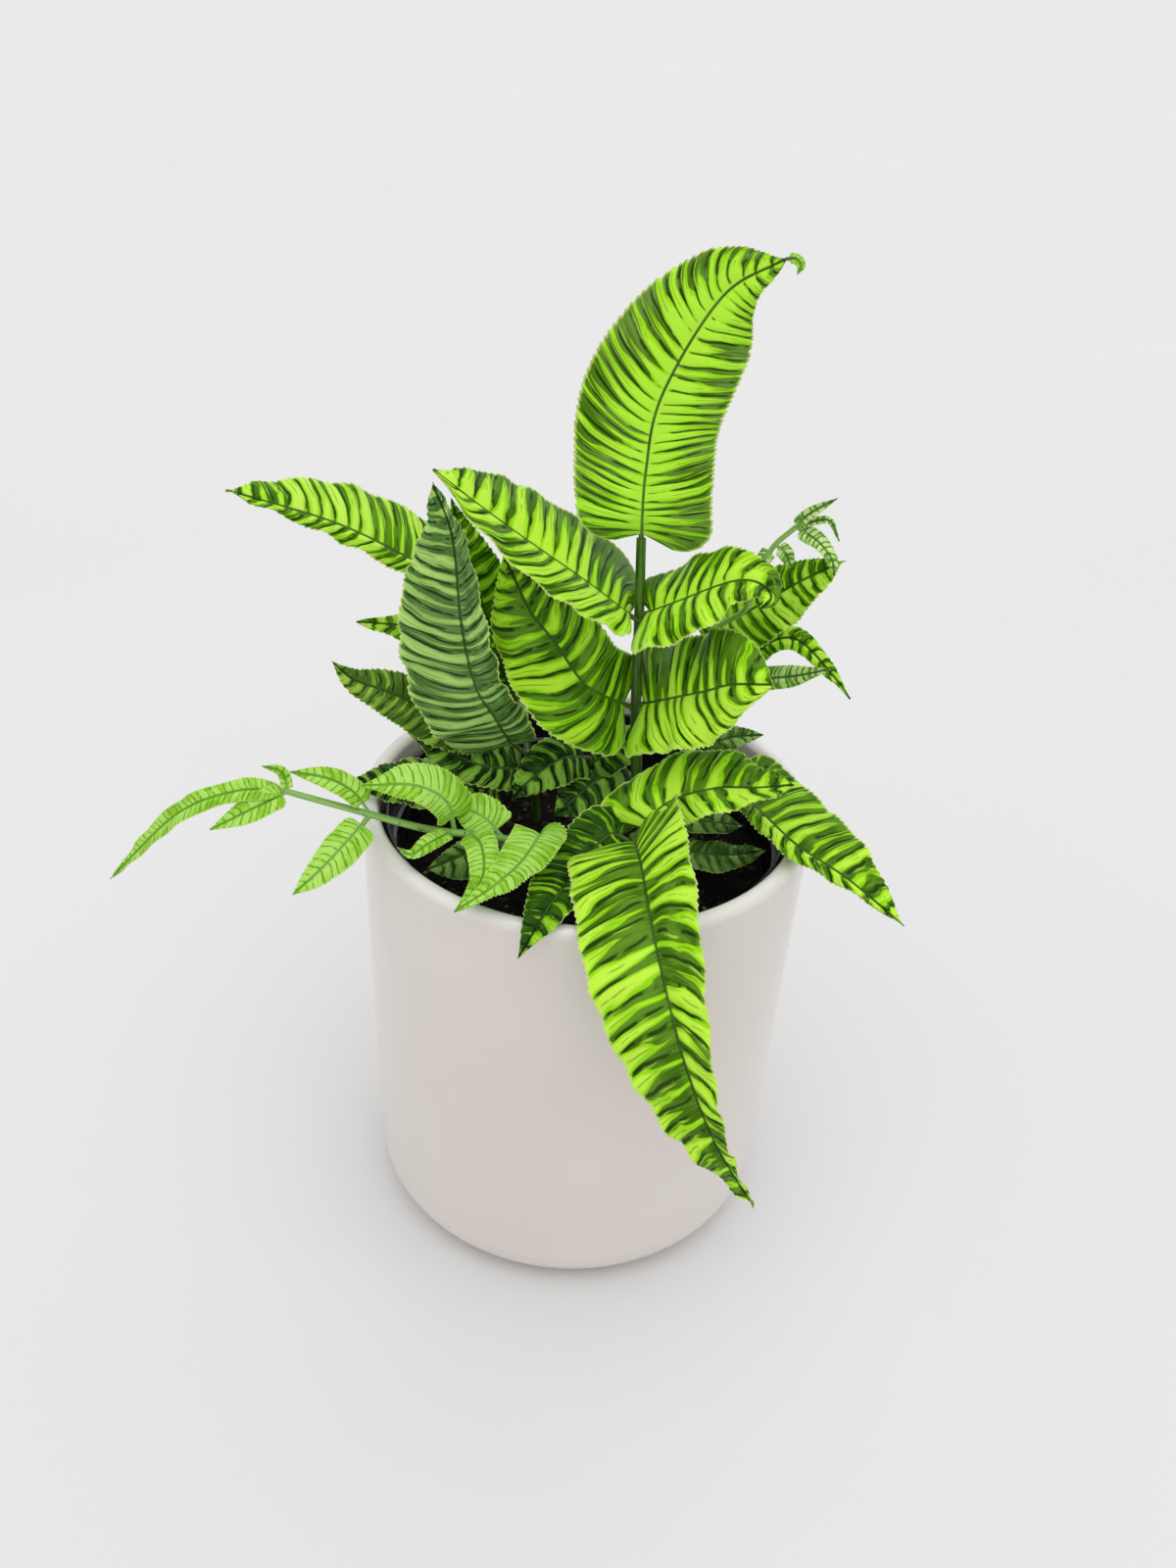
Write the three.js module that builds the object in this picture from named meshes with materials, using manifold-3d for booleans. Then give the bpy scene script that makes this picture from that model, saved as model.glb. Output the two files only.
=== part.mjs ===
// A bamboo fern in a glazed cylinder planter.
// Millimetres, Z up, origin at the centre of the planter's base. The front is -Y.
import * as THREE from 'three';
import { mergeVertices } from 'three/addons/utils/BufferGeometryUtils.js';
import Module from 'manifold-3d';

const wasm = await Module();
wasm.setup();

// Planter
const PLANTER_RADIUS = 70;
const PLANTER_BASE_RADIUS = 65.5;
const PLANTER_HEIGHT = 152;
const PLANTER_WALL = 5.5;
const PLANTER_FLOOR = 7;
const FOOT_ROUND = 16;
const PLANTER_SIDES = 48;

// Grow pot and soil
const GAP = 0.3;
const GROW_POT_HEIGHT = 139;
const GROW_POT_RIM_RADIUS = 62.6;
const GROW_POT_TOP_RADIUS = 60.5;
const GROW_POT_BASE_RADIUS = 47;
const GROW_POT_WALL = 1.2;
const GROW_POT_RIM_DROP = 9;
const GROW_POT_SIDES = 36;
const DRAIN_HOLES = 6;
const DRAIN_HOLE_RADIUS = 4;
const DRAIN_CIRCLE_RADIUS = 32;
const SOIL_TOP = 127;
const SOIL_BUMP = 1.1;
const SOIL_SIDES = 30;

// Leaf build
const LEAF_THICKNESS = 0.8;
const TIP_HALF_WIDTH = 0.6;
const TOOTH_DEPTH = 0.9;
const STATION_SPACING = 7.5;
const BASE_CROWDING = 1.3;
const BASE_END = 0.11;
const TAPER_START = 0.3;
const WAIST_END = 0.5;
const WAVE_SPACING = 15;
const WAVE_HEIGHT = 0.9;
const ROOT_DEPTH = 12;
const STALK_RADIUS = 0.8;
const STALK_STEP = 13;
const STIPE_SIDES = 6;
const STALK_SIDES = 4;

// One entry is one frond. The rachis is the stalk from the soil up, and each pinna is a leaflet.
// midrib: the points that the leaflet's midrib runs through, from where it leaves the rachis.
// face: where the upper side looks, at the root and at the tip. half: the width left and right
// of the midrib. stalk: bare length before the blade. fold and curl: how far the two halves
// rise towards each other, in degrees, and droop again. lobe: how far the base reaches back, left
// and right. taper: how full each half stays towards the tip. waist: how much narrower each half starts.
// wave: how strong the edge waves.
const FRONDS = [
  {
    "name": "frond_centre", "radius": [2, 1.4], "colour": "#5fae1f",
    "rachis": [[15, 6, 127], [15, 2, 155], [13, 0, 184], [12, 3, 212], [11, 7, 236]],
    "pinnae": [
      {"midrib": [[11, 7, 234], [11, 12, 254], [14, 16, 275], [28, 16, 303], [43, 8, 316]],
       "face": [[0, -1, 0.3], [-0.1, -0.8, 0.6]], "half": [23, 19], "stalk": 3,
       "fold": 8, "curl": -0.06, "lobe": [9, 11], "taper": [2.4, 3.4],
       "waist": [0.25, -0.15], "wave": 0.6},
      {"midrib": [[12, 2, 212], [-3, -6, 227], [-24, -16, 246], [-45, -26, 266]],
       "face": [[0.1, -0.3, 1], [0.1, -0.3, 1]], "half": [21, 24], "stalk": 5,
       "fold": 10, "curl": -0.1, "lobe": [-2, 17], "taper": [3.2, 2.3],
       "waist": [0.3, -0.15], "wave": 0.6},
      {"midrib": [[12, 2, 214], [23, -7, 224], [32.5, -15, 233], [39, -20, 237.5], [44, -24, 238],
        [46, -27.5, 236], [43.5, -29, 233.5]],
       "face": [[-0.2, -0.4, 1], [0, -0.6, 0.6]], "half": [15, 18], "stalk": 4,
       "fold": 8, "curl": -0.1, "lobe": [20, 4], "taper": [1.8, 1.6],
       "waist": [0, 0], "wave": 0.8},
      {"midrib": [[12, 0, 184], [-2, -8, 195], [-12, -8.5, 209], [-20, -4, 217], [-28, 3, 230]],
       "face": [[-0.2, -0.8, 0.6], [-0.3, -0.8, 0.5]], "half": [19, 15], "stalk": 4,
       "fold": 6, "curl": -0.1, "lobe": [12, 6], "taper": [2.4, 2.4],
       "waist": [0.15, 0], "wave": 1},
      {"midrib": [[13, 0, 185], [23, -12, 195], [31.5, -23, 204], [38, -31, 211], [48, -39, 216]],
       "face": [[0.1, -0.7, 0.7], [0.2, -0.7, 0.6]], "half": [19, 17.5], "stalk": 4,
       "fold": 6, "curl": -0.1, "lobe": [16, 14], "taper": [4, 4],
       "waist": [0, 0], "wave": 1},
      {"midrib": [[43, 8, 316], [45.5, 7, 316.5], [47, 6.5, 315], [46.3, 6, 312.8]],
       "face": [[0, -0.9, 0.5], [0.3, -0.9, 0.2]], "half": [1.4, 1.4], "stalk": 1,
       "fold": 0, "curl": 0, "lobe": [0, 0], "taper": [2.4, 2.4],
       "waist": [0, 0], "wave": 0}
    ]
  },
  {
    "name": "frond_left", "radius": [1.5, 0.9], "colour": "#3c6a3a",
    "rachis": [[-16, 20, 127], [-20, 20, 155], [-28, 18, 185], [-38, 15, 210]],
    "pinnae": [
      {"midrib": [[-21, 20, 159], [-20, 9, 160], [-24, 1, 168], [-29, -3, 179], [-35, -6, 192],
        [-39, -8, 213], [-42, -5, 238], [-48, 0, 252]],
       "face": [[-0.3, -0.8, 0.4], [-0.5, -0.85, 0.35]], "half": [22, 12.5], "stalk": 24,
       "fold": 20, "curl": -0.15, "lobe": [1, 3], "taper": [2.4, 2],
       "waist": [0.2, 0], "wave": 1},
      {"midrib": [[-38, 15, 210], [-46, 13, 217], [-58, 12, 224], [-78, 8, 235], [-106, 0, 246]],
       "face": [[0.1, -0.4, 0.9], [0, -0.5, 0.9]], "half": [6, 20], "stalk": 4,
       "fold": 0, "curl": -0.2, "lobe": [4, 4], "taper": [2.4, 2.4],
       "waist": [0, 0], "wave": 0.9},
      {"midrib": [[-24.6, 18.9, 172], [-28, 18, 185], [-31, 16, 196], [-36, 14, 212],
        [-41, 12, 230], [-44, 11, 243]],
       "face": [[0.3, -0.9, 0.4], [0.2, -0.9, 0.3]], "half": [10, 13], "stalk": 1,
       "fold": 0, "curl": -0.1, "lobe": [3, 3], "taper": [2, 2],
       "waist": [0, 0], "wave": 0.6},
      {"midrib": [[-21, 20, 158], [-32, 12, 166], [-45, 6, 172], [-55, 4, 179], [-64, 2, 184],
        [-72, 0, 188], [-78, -2, 195]],
       "face": [[-0.1, -0.8, 0.6], [-0.3, -0.8, 0.5]], "half": [9.5, 9], "stalk": 16,
       "fold": 10, "curl": -0.2, "lobe": [3, 3], "taper": [2.2, 2.2],
       "waist": [0, 0], "wave": 0.8},
      {"midrib": [[-30, 17, 191], [-45, 17, 198], [-60, 16, 199], [-73, 14, 200]],
       "face": [[0, -0.5, 1], [0, -0.5, 1]], "half": [8, 6], "stalk": 6,
       "fold": 0, "curl": -0.1, "lobe": [3, 3], "taper": [2, 2],
       "waist": [0, 0], "wave": 0.6}
    ]
  },
  {
    "name": "frond_low", "radius": [1.4, 0.9], "colour": "#2c4d1f",
    "rachis": [[-4, 16, 127], [-4, 14, 145], [0, 12, 158]],
    "pinnae": [
      {"midrib": [[-2, 13, 152], [-14, 10, 154], [-25, 6, 156], [-37, 4, 159], [-57, 6, 168]],
       "face": [[0, -0.5, 1], [0, -0.5, 1]], "half": [8, 10], "stalk": 20,
       "fold": 0, "curl": -0.15, "lobe": [4, 4], "taper": [2.2, 2.2],
       "waist": [0, 0], "wave": 0.8},
      {"midrib": [[0, 12, 158], [-8, 8, 160], [-17, 2, 156], [-23, -5, 152]],
       "face": [[0.2, -0.5, 1], [0.1, -0.5, 1]], "half": [9, 9], "stalk": 2,
       "fold": 6, "curl": -0.15, "lobe": [4, 4], "taper": [2.2, 2.2],
       "waist": [0, 0], "wave": 0.8},
      {"midrib": [[-4, 14, 146], [-20, 8, 147], [-40, 2, 151], [-52, -3, 154], [-64, -9, 157],
        [-74, -13, 158]],
       "face": [[0, -0.6, 1], [0, -0.6, 1]], "half": [9, 11], "stalk": 26,
       "fold": 0, "curl": -0.15, "lobe": [4, 4], "taper": [2.4, 2.4],
       "waist": [0, 0], "wave": 0.8},
      {"midrib": [[-1, 13, 154], [8, 12, 162], [20, 15, 168]],
       "face": [[0, -0.5, 1], [0, -0.5, 1]], "half": [8, 8], "stalk": 3,
       "fold": 0, "curl": -0.15, "lobe": [4, 4], "taper": [2.2, 2.2],
       "waist": [0, 0], "wave": 0.8},
      {"midrib": [[-3, 14, 148], [4, 8, 154], [-1, 1, 153], [-10, -6, 147]],
       "face": [[0, -0.5, 1], [0, -0.5, 1]], "half": [10, 9], "stalk": 6,
       "fold": 0, "curl": -0.15, "lobe": [4, 4], "taper": [2.4, 2.4],
       "waist": [0, 0], "wave": 0.8},
      {"midrib": [[-4, 15, 139], [2, 8, 145], [4, -1, 145], [0, -8, 141]],
       "face": [[0, -0.5, 1], [0, -0.5, 1]], "half": [9, 9], "stalk": 6,
       "fold": 0, "curl": -0.15, "lobe": [4, 4], "taper": [2.4, 2.4],
       "waist": [0, 0], "wave": 0.6}
    ]
  },
  {
    "name": "frond_young_left", "radius": [1.5, 0.9], "colour": "#8ccf4e",
    "rachis": [[4, -10, 127], [-6, -20, 141], [-15, -27, 150], [-28, -32, 156], [-45, -36, 160],
      [-62, -36, 164], [-87, -34, 169]],
    "pinnae": [
      {"midrib": [[-87, -34, 169], [-101, -34, 168], [-120, -32, 157], [-145, -24, 126]],
       "face": [[0, -0.6, 1], [-0.4, -0.6, 0.6]], "half": [4.2, 3.6], "stalk": 1,
       "fold": 14, "curl": -0.1, "lobe": [1, 1], "taper": [2.4, 2.4],
       "waist": [0, 0], "wave": 0.4},
      {"midrib": [[-86, -34, 169], [-94, -38, 166], [-108, -40, 158]],
       "face": [[0, -0.6, 1], [-0.4, -0.6, 0.6]], "half": [5, 4.5], "stalk": 2,
       "fold": 14, "curl": -0.1, "lobe": [1, 1], "taper": [1.8, 1.8],
       "waist": [0, 0], "wave": 0.2},
      {"midrib": [[-86, -34, 169], [-88, -32, 174], [-93, -34, 177]],
       "face": [[0.4, -0.6, 0.6], [0, -0.6, 1]], "half": [2, 2], "stalk": 1,
       "fold": 14, "curl": -0.1, "lobe": [1, 1], "taper": [1.8, 1.8],
       "waist": [0, 0], "wave": 0},
      {"midrib": [[-62, -36, 164], [-67, -34, 170], [-75, -32, 173], [-86, -30, 173]],
       "face": [[0.3, -0.6, 0.7], [-0.2, -0.6, 0.6]], "half": [4, 4], "stalk": 4,
       "fold": 14, "curl": -0.1, "lobe": [1, 1], "taper": [2, 2],
       "waist": [0, 0], "wave": 0.3},
      {"midrib": [[-62, -36, 164], [-69, -44, 158], [-75, -50, 153], [-82, -54, 147]],
       "face": [[0, -0.6, 1], [-0.4, -0.8, 0.6]], "half": [7, 5.5], "stalk": 4,
       "fold": 14, "curl": -0.1, "lobe": [1, 1], "taper": [2, 2],
       "waist": [0, 0], "wave": 0.3},
      {"midrib": [[-38, -34, 159], [-40, -36, 170], [-49, -39, 177], [-64, -38, 175]],
       "face": [[0.3, -0.6, 0.6], [0, -0.6, 1]], "half": [6, 8], "stalk": 5,
       "fold": 6, "curl": -0.1, "lobe": [3, 3], "taper": [2.2, 2.2],
       "waist": [0, 0], "wave": 0.4},
      {"midrib": [[-24, -31, 155], [-30, -28, 160], [-40, -26, 163]],
       "face": [[0, -0.6, 1], [-0.2, -0.6, 0.8]], "half": [7, 7], "stalk": 3,
       "fold": 10, "curl": -0.1, "lobe": [1, 1], "taper": [2.4, 2.4],
       "waist": [0, 0], "wave": 0.4},
      {"midrib": [[-38, -34, 159], [-44, -44, 161], [-49, -46, 158], [-53, -46, 160]],
       "face": [[0, -0.6, 1], [-0.2, -0.6, 0.8]], "half": [3, 3], "stalk": 4,
       "fold": 10, "curl": -0.1, "lobe": [1, 1], "taper": [2, 2],
       "waist": [0, 0], "wave": 0.2},
      {"midrib": [[-34, -33, 158], [-29, -46, 162], [-28, -58, 159], [-34, -68, 156]],
       "face": [[0, -0.6, 1], [-0.2, -0.6, 0.8]], "half": [5, 5], "stalk": 4,
       "fold": 14, "curl": -0.1, "lobe": [1, 1], "taper": [2, 2],
       "waist": [0, 0], "wave": 0.3},
      {"midrib": [[-14, -26, 150], [-13, -35, 160], [-17, -51, 162], [-24, -64, 162],
        [-34, -73, 159]],
       "face": [[0, -0.6, 1], [-0.2, -0.6, 0.8]], "half": [8, 8], "stalk": 5,
       "fold": 10, "curl": -0.1, "lobe": [3, 3], "taper": [1.6, 1.6],
       "waist": [0, 0], "wave": 0.6}
    ]
  },
  {
    "name": "frond_front", "radius": [1.5, 1], "colour": "#58a51e",
    "rachis": [[16, -10, 127], [15, -18, 142], [14, -33, 160]],
    "pinnae": [
      {"midrib": [[14, -33, 160], [16, -50, 163], [18, -66, 162], [21, -82, 157], [26, -93, 144],
        [31, -98, 130], [40, -101, 108], [54, -99, 81]],
       "face": [[-0.38, -0.4, 1], [-0.7, -1, 0.3]], "half": [16.5, 21.5], "stalk": 4,
       "fold": 16, "curl": -0.1, "lobe": [40, 12], "taper": [1, 1.9],
       "waist": [0, 0], "wave": 1},
      {"midrib": [[14, -31, 158], [23, -27, 168], [36, -29, 175.5], [48, -31, 178],
        [59, -31, 179.5]],
       "face": [[-0.3, -0.3, 1], [0, -0.3, 1]], "half": [17, 12], "stalk": 4,
       "fold": 6, "curl": -0.1, "lobe": [17, -6], "taper": [2.2, 2.2],
       "waist": [0, 0.6], "wave": 1},
      {"midrib": [[14, -32, 157], [7, -30, 158], [-1, -38, 151], [-8, -62, 156], [-16, -80, 150]],
       "face": [[0, -0.3, 1], [-0.2, -0.8, 0.6]], "half": [10, 11], "stalk": 4,
       "fold": 6, "curl": -0.1, "lobe": [7, 7], "taper": [2, 2],
       "waist": [0, 0], "wave": 0.6}
    ]
  },
  {
    "name": "frond_right", "radius": [1.4, 0.9], "colour": "#4f9a1e",
    "rachis": [[34, 6, 127], [38, 3, 145], [44, -2, 161]],
    "pinnae": [
      {"midrib": [[44, -2, 161], [50, -11, 160], [62, -29, 158], [76, -42, 156], [93, -50, 146]],
       "face": [[0.1, -0.5, 1], [0.2, -0.6, 1]], "half": [18, 6], "stalk": 3,
       "fold": 4, "curl": -0.1, "lobe": [18, 4], "taper": [1.9, 1.9],
       "waist": [0, 0], "wave": 0.8},
      {"midrib": [[35, 5, 131], [30, -4, 136], [36, -8, 138], [46, -8, 138], [57, -6, 139]],
       "face": [[0, -0.3, 1], [0.2, -0.3, 1]], "half": [6, 7], "stalk": 13,
       "fold": 0, "curl": -0.12, "lobe": [3, 3], "taper": [2.2, 2.2],
       "waist": [0, 0], "wave": 0.5},
      {"midrib": [[37, 4, 140], [31, 3, 143], [37, 1, 144], [44, 2, 143], [50, 4, 141]],
       "face": [[0, -0.3, 1], [0.2, -0.3, 1]], "half": [6, 5], "stalk": 8,
       "fold": 0, "curl": -0.12, "lobe": [3, 3], "taper": [2.2, 2.2],
       "waist": [0, 0], "wave": 0.5}
    ]
  },
  {
    "name": "frond_back_right", "radius": [1.4, 0.9], "colour": "#6fb52a",
    "rachis": [[24, 24, 127], [26, 22, 160], [30, 19, 198]],
    "pinnae": [
      {"midrib": [[30, 19, 198], [44, 14, 211], [58, 8, 225], [69, 2, 235]],
       "face": [[-0.2, -0.8, 0.6], [-0.2, -0.7, 0.7]], "half": [9, 12], "stalk": 3,
       "fold": 6, "curl": -0.12, "lobe": [3, 3], "taper": [2.6, 2.6],
       "waist": [0, 0], "wave": 0.9}
    ]
  },
  {
    "name": "frond_twisted", "radius": [1.3, 0.8], "colour": "#6c9f3c",
    "rachis": [[34, 24, 127], [38, 23, 160], [47, 21, 187]],
    "pinnae": [
      {"midrib": [[47, 21, 187], [52, 21, 197], [61, 18, 201], [72, 12, 193], [78, 8, 187]],
       "face": [[0, -0.8, 0.6], [0.2, -0.7, 0.7]], "half": [4, 4], "stalk": 5,
       "fold": 6, "curl": -0.12, "lobe": [1, 1], "taper": [2, 2],
       "waist": [0, 0], "wave": 0.4},
      {"midrib": [[46, 21, 184], [52, 14, 189], [61, 8, 194], [70, 4, 199]],
       "face": [[0, -0.8, 0.6], [0.2, -0.7, 0.7]], "half": [4, 4], "stalk": 6,
       "fold": 6, "curl": -0.12, "lobe": [1, 1], "taper": [2, 2],
       "waist": [0, 0], "wave": 0.4},
      {"midrib": [[35.5, 24, 140], [35, 27, 152], [44, 29, 158], [56, 31, 159]],
       "face": [[0, -0.6, 0.8], [0.2, -0.5, 0.8]], "half": [6, 6], "stalk": 8,
       "fold": 6, "curl": -0.12, "lobe": [3, 3], "taper": [2.2, 2.2],
       "waist": [0, 0], "wave": 0.4}
    ]
  },
  {
    "name": "frond_unfolding", "radius": [1.1, 0.8], "colour": "#a9cf7c",
    "rachis": [[28, 10, 127], [30, 12, 170], [34, 11, 203], [43, 6, 216], [45, 7, 225],
      [49, 10, 234], [55, 10, 241]],
    "pinnae": [
      {"midrib": [[55, 10, 241], [58, 8, 246], [65, 6, 252]],
       "face": [[0, -0.8, 0.6], [0.2, -0.7, 0.7]], "half": [2, 2], "stalk": 1,
       "fold": 10, "curl": 0, "lobe": [1, 1], "taper": [1.6, 1.6],
       "waist": [0, 0], "wave": 0},
      {"midrib": [[55, 10, 241], [61, 6, 239], [65, 1, 236], [66, -2, 232]],
       "face": [[0.5, -0.8, 0.6], [0.4, -0.8, 0.4]], "half": [3, 3], "stalk": 2,
       "fold": 0, "curl": 0, "lobe": [1, 1], "taper": [2.6, 2.6],
       "waist": [0, 0], "wave": 0.4},
      {"midrib": [[55, 10, 241], [60, 8, 244], [64, 6, 245], [67, 4, 240]],
       "face": [[0, -0.8, 0.6], [0.4, -0.7, 0.4]], "half": [1.2, 1.2], "stalk": 1,
       "fold": 0, "curl": 0, "lobe": [0, 0], "taper": [2, 2],
       "waist": [0, 0], "wave": 0},
      {"midrib": [[49, 10, 234], [47, 9, 231], [46, 8, 227]],
       "face": [[0, -0.8, 0.6], [-0.2, -0.7, 0.5]], "half": [2.5, 2.5], "stalk": 1,
       "fold": 0, "curl": 0, "lobe": [0, 0], "taper": [2.4, 2.4],
       "waist": [0, 0], "wave": 0.2},
      {"midrib": [[50, 10, 235], [53, 9, 233], [55, 8, 229]],
       "face": [[0, -0.8, 0.6], [0.2, -0.7, 0.5]], "half": [2.5, 2.5], "stalk": 1,
       "fold": 0, "curl": 0, "lobe": [0, 0], "taper": [2.4, 2.4],
       "waist": [0, 0], "wave": 0.2}
    ]
  },
  {
    "name": "frond_grey", "radius": [1.2, 0.8], "colour": "#4b6f3f",
    "rachis": [[-12, -14, 127], [-16, -15, 136], [-24, -17, 143]],
    "pinnae": [
      {"midrib": [[-24, -17, 143], [-32, -20, 143], [-40, -24, 141], [-47, -27, 139]],
       "face": [[0, -0.6, 0.8], [0, -0.6, 0.8]], "half": [9, 5], "stalk": 2,
       "fold": 0, "curl": -0.12, "lobe": [3, 3], "taper": [2.4, 2.4],
       "waist": [0, 0], "wave": 0.4}
    ]
  }
];

function vector([x, y, z]) {
  return new THREE.Vector3(x, y, z);
}

function route(points) {
  return new THREE.CatmullRomCurve3(points.map(vector), false, 'catmullrom', 0.5);
}

// A closed body through rings of points. A ring runs over the upper side from left to right
// and back below from right to left, so both faces of a thin blade share their diagonals.
function loft(rings) {
  const count = rings[0].length;
  const positions = rings.flat().flatMap((point) => point.toArray());
  const index = [];
  const quad = (a, b, c, d) => index.push(a, b, c, a, c, d);
  for (let ring = 0; ring + 1 < rings.length; ring++) {
    for (let k = 0; k < count; k++) {
      const next = (k + 1) % count;
      const here = ring * count;
      const there = here + count;
      if (k < count / 2) {
        quad(here + next, there + next, there + k, here + k);
      } else {
        quad(here + k, here + next, there + next, there + k);
      }
    }
  }
  const last = (rings.length - 1) * count;
  for (let k = 0; k + 1 < count / 2; k++) {
    const across = count - 1 - k;
    quad(across, across - 1, k + 1, k);
    quad(last + across - 1, last + across, last + k, last + k + 1);
  }
  const geometry = new THREE.BufferGeometry();
  geometry.setAttribute('position', new THREE.Float32BufferAttribute(positions, 3));
  geometry.setIndex(index);
  return geometry;
}

// A closed three.js geometry as a solid that can be joined and cut
function solid(geometry) {
  const bare = geometry.clone();
  bare.deleteAttribute('normal');
  bare.deleteAttribute('uv');
  const merged = mergeVertices(bare, 1e-4);
  const triangles = [];
  for (let i = 0; i < merged.index.count; i += 3) {
    const [a, b, c] = [0, 1, 2].map((k) => merged.index.getX(i + k));
    if (a !== b && b !== c && c !== a) {
      triangles.push(a, b, c);
    }
  }
  return new wasm.Manifold(new wasm.Mesh({
    numProp: 3,
    vertProperties: new Float32Array(merged.attributes.position.array),
    triVerts: new Uint32Array(triangles)
  }));
}

// The outer body alone: what a join seals inside it is filled
function largest(body) {
  return body.decompose().sort((a, b) => b.volume() - a.volume())[0];
}

function geometryOf(body) {
  const mesh = body.getMesh();
  const geometry = new THREE.BufferGeometry();
  geometry.setAttribute('position', new THREE.Float32BufferAttribute(mesh.vertProperties, 3));
  geometry.setIndex(Array.from(mesh.triVerts));
  geometry.computeVertexNormals();
  return geometry;
}

function named(name, body, colour, roughness) {
  const material = new THREE.MeshStandardMaterial({ color: colour, roughness, metalness: 0 });
  const mesh = new THREE.Mesh(geometryOf(body), material);
  mesh.name = name;
  return mesh;
}

// Half width of a blade along its length, as a share of its widest place
function fullness(s, taper, waist) {
  const base = s < BASE_END ? Math.sqrt(1 - (1 - s / BASE_END) ** 2) : 1;
  const tip = s > TAPER_START ? 1 - ((s - TAPER_START) / (1 - TAPER_START)) ** taper : 1;
  return base * tip * (1 - waist * Math.max(0, 1 - s / WAIST_END) ** 2);
}

// The ring of a leaflet's blade at s, which runs from 0 at its base to 1 at its tip
function bladeRing(pinna, curve, s, tooth, columns) {
  const length = curve.getLength();
  const u = (pinna.stalk + (length - pinna.stalk) * s) / length;
  const point = curve.getPointAt(u);
  const along = curve.getTangentAt(u);
  const up = vector(pinna.face[0]).lerp(vector(pinna.face[1]), s);
  up.addScaledVector(along, -up.dot(along)).normalize();
  const left = up.clone().cross(along);
  const fold = THREE.MathUtils.degToRad(pinna.fold);
  const wave = pinna.wave * WAVE_HEIGHT * Math.sin(2 * Math.PI * length * s / WAVE_SPACING);
  const upper = [];
  const lower = [];
  for (const side of columns) {
    const reach = Math.abs(side);
    const k = side > 0 ? 0 : 1;
    const full = fullness(s, pinna.taper[k], pinna.waist[k]);
    const half = Math.max(pinna.half[k] * full - tooth * reach, TIP_HALF_WIDTH);
    const lobe = pinna.lobe[k] * full * (1 - s) ** 6;
    const rise = half * (reach * Math.sin(fold) + pinna.curl * reach ** 2) + wave * side * reach;
    const middle = point.clone()
      .addScaledVector(left, Math.sign(side) * half * reach * Math.cos(fold))
      .addScaledVector(up, rise)
      .addScaledVector(along, -lobe * reach ** 1.5);
    upper.push(middle.clone().addScaledVector(up, LEAF_THICKNESS / 2));
    lower.unshift(middle.clone().addScaledVector(up, -LEAF_THICKNESS / 2));
  }
  return upper.concat(lower);
}

function blade(pinna) {
  const curve = route(pinna.midrib);
  const steps = Math.round((curve.getLength() - pinna.stalk) / STATION_SPACING) + 3;
  const narrow = Math.max(...pinna.half) < 10;
  const toothed = Math.min(...pinna.half) > 2 * TOOTH_DEPTH;
  const columns = narrow ? [1, 0, -1] : [1, 0.5, 0, -0.5, -1];
  const rings = [];
  for (let i = 0; i <= steps; i++) {
    const tooth = toothed && i % 2 && i < steps ? TOOTH_DEPTH : 0;
    rings.push(bladeRing(pinna, curve, (i / steps) ** BASE_CROWDING, tooth, columns));
  }
  return solid(loft(rings));
}

// A round stalk along a route, thinner towards its end
function stalk(points, startRadius, endRadius, sides, end = 1) {
  const curve = route(points);
  const steps = Math.max(4, Math.round(curve.getLength() / STALK_STEP));
  const frames = curve.computeFrenetFrames(steps);
  const used = Math.max(1, Math.ceil(end * steps));
  const rings = [];
  for (let i = 0; i <= used; i++) {
    const point = curve.getPointAt(i / steps);
    const radius = startRadius + (endRadius - startRadius) * i / used;
    const ring = [];
    for (let k = 0; k < sides; k++) {
      const angle = 2 * Math.PI * k / sides;
      ring.push(point.clone()
        .addScaledVector(frames.normals[i], radius * Math.cos(angle))
        .addScaledVector(frames.binormals[i], radius * Math.sin(angle)));
    }
    rings.push(ring);
  }
  return solid(loft(rings));
}

// The rachis with its foot carried straight down into the soil
function stipeRoute(frond, depth) {
  const [x, y, z] = frond.rachis[0];
  return [[x, y, z - depth], ...frond.rachis];
}

function frondSolid(frond) {
  let body = stalk(stipeRoute(frond, ROOT_DEPTH), ...frond.radius, STIPE_SIDES);
  for (const pinna of frond.pinnae) {
    const length = route(pinna.midrib).getLength();
    const ribEnd = Math.min(1, (pinna.stalk + 4) / length);
    body = body.add(stalk(pinna.midrib, STALK_RADIUS, STALK_RADIUS * 0.8, STALK_SIDES, ribEnd));
    body = body.add(blade(pinna));
  }
  return largest(body);
}

// A turned body from a profile of [radius, height] points that starts and ends on the axis
function turned(profile, sides) {
  const lathe = new THREE.LatheGeometry(profile.map(([r, z]) => new THREE.Vector2(r, z)), sides);
  return lathe.rotateX(Math.PI / 2);
}

function arc(centreRadius, centreHeight, radius, from, to, steps) {
  return Array.from({ length: steps + 1 }, (unused, i) => {
    const angle = THREE.MathUtils.degToRad(from + (to - from) * i / steps);
    return [centreRadius + radius * Math.cos(angle), centreHeight + radius * Math.sin(angle)];
  });
}

function planter() {
  const lip = PLANTER_WALL / 2;
  const innerRound = FOOT_ROUND - PLANTER_WALL;
  const innerBase = PLANTER_BASE_RADIUS - PLANTER_WALL;
  return solid(turned([
    [0, 0],
    ...arc(PLANTER_BASE_RADIUS - FOOT_ROUND, FOOT_ROUND, FOOT_ROUND, -90, 0, 5),
    ...arc(PLANTER_RADIUS - lip, PLANTER_HEIGHT - lip, lip, 0, 180, 4),
    ...arc(innerBase - innerRound, PLANTER_FLOOR + innerRound, innerRound, 0, -90, 2),
    [0, PLANTER_FLOOR]
  ], PLANTER_SIDES));
}

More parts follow.
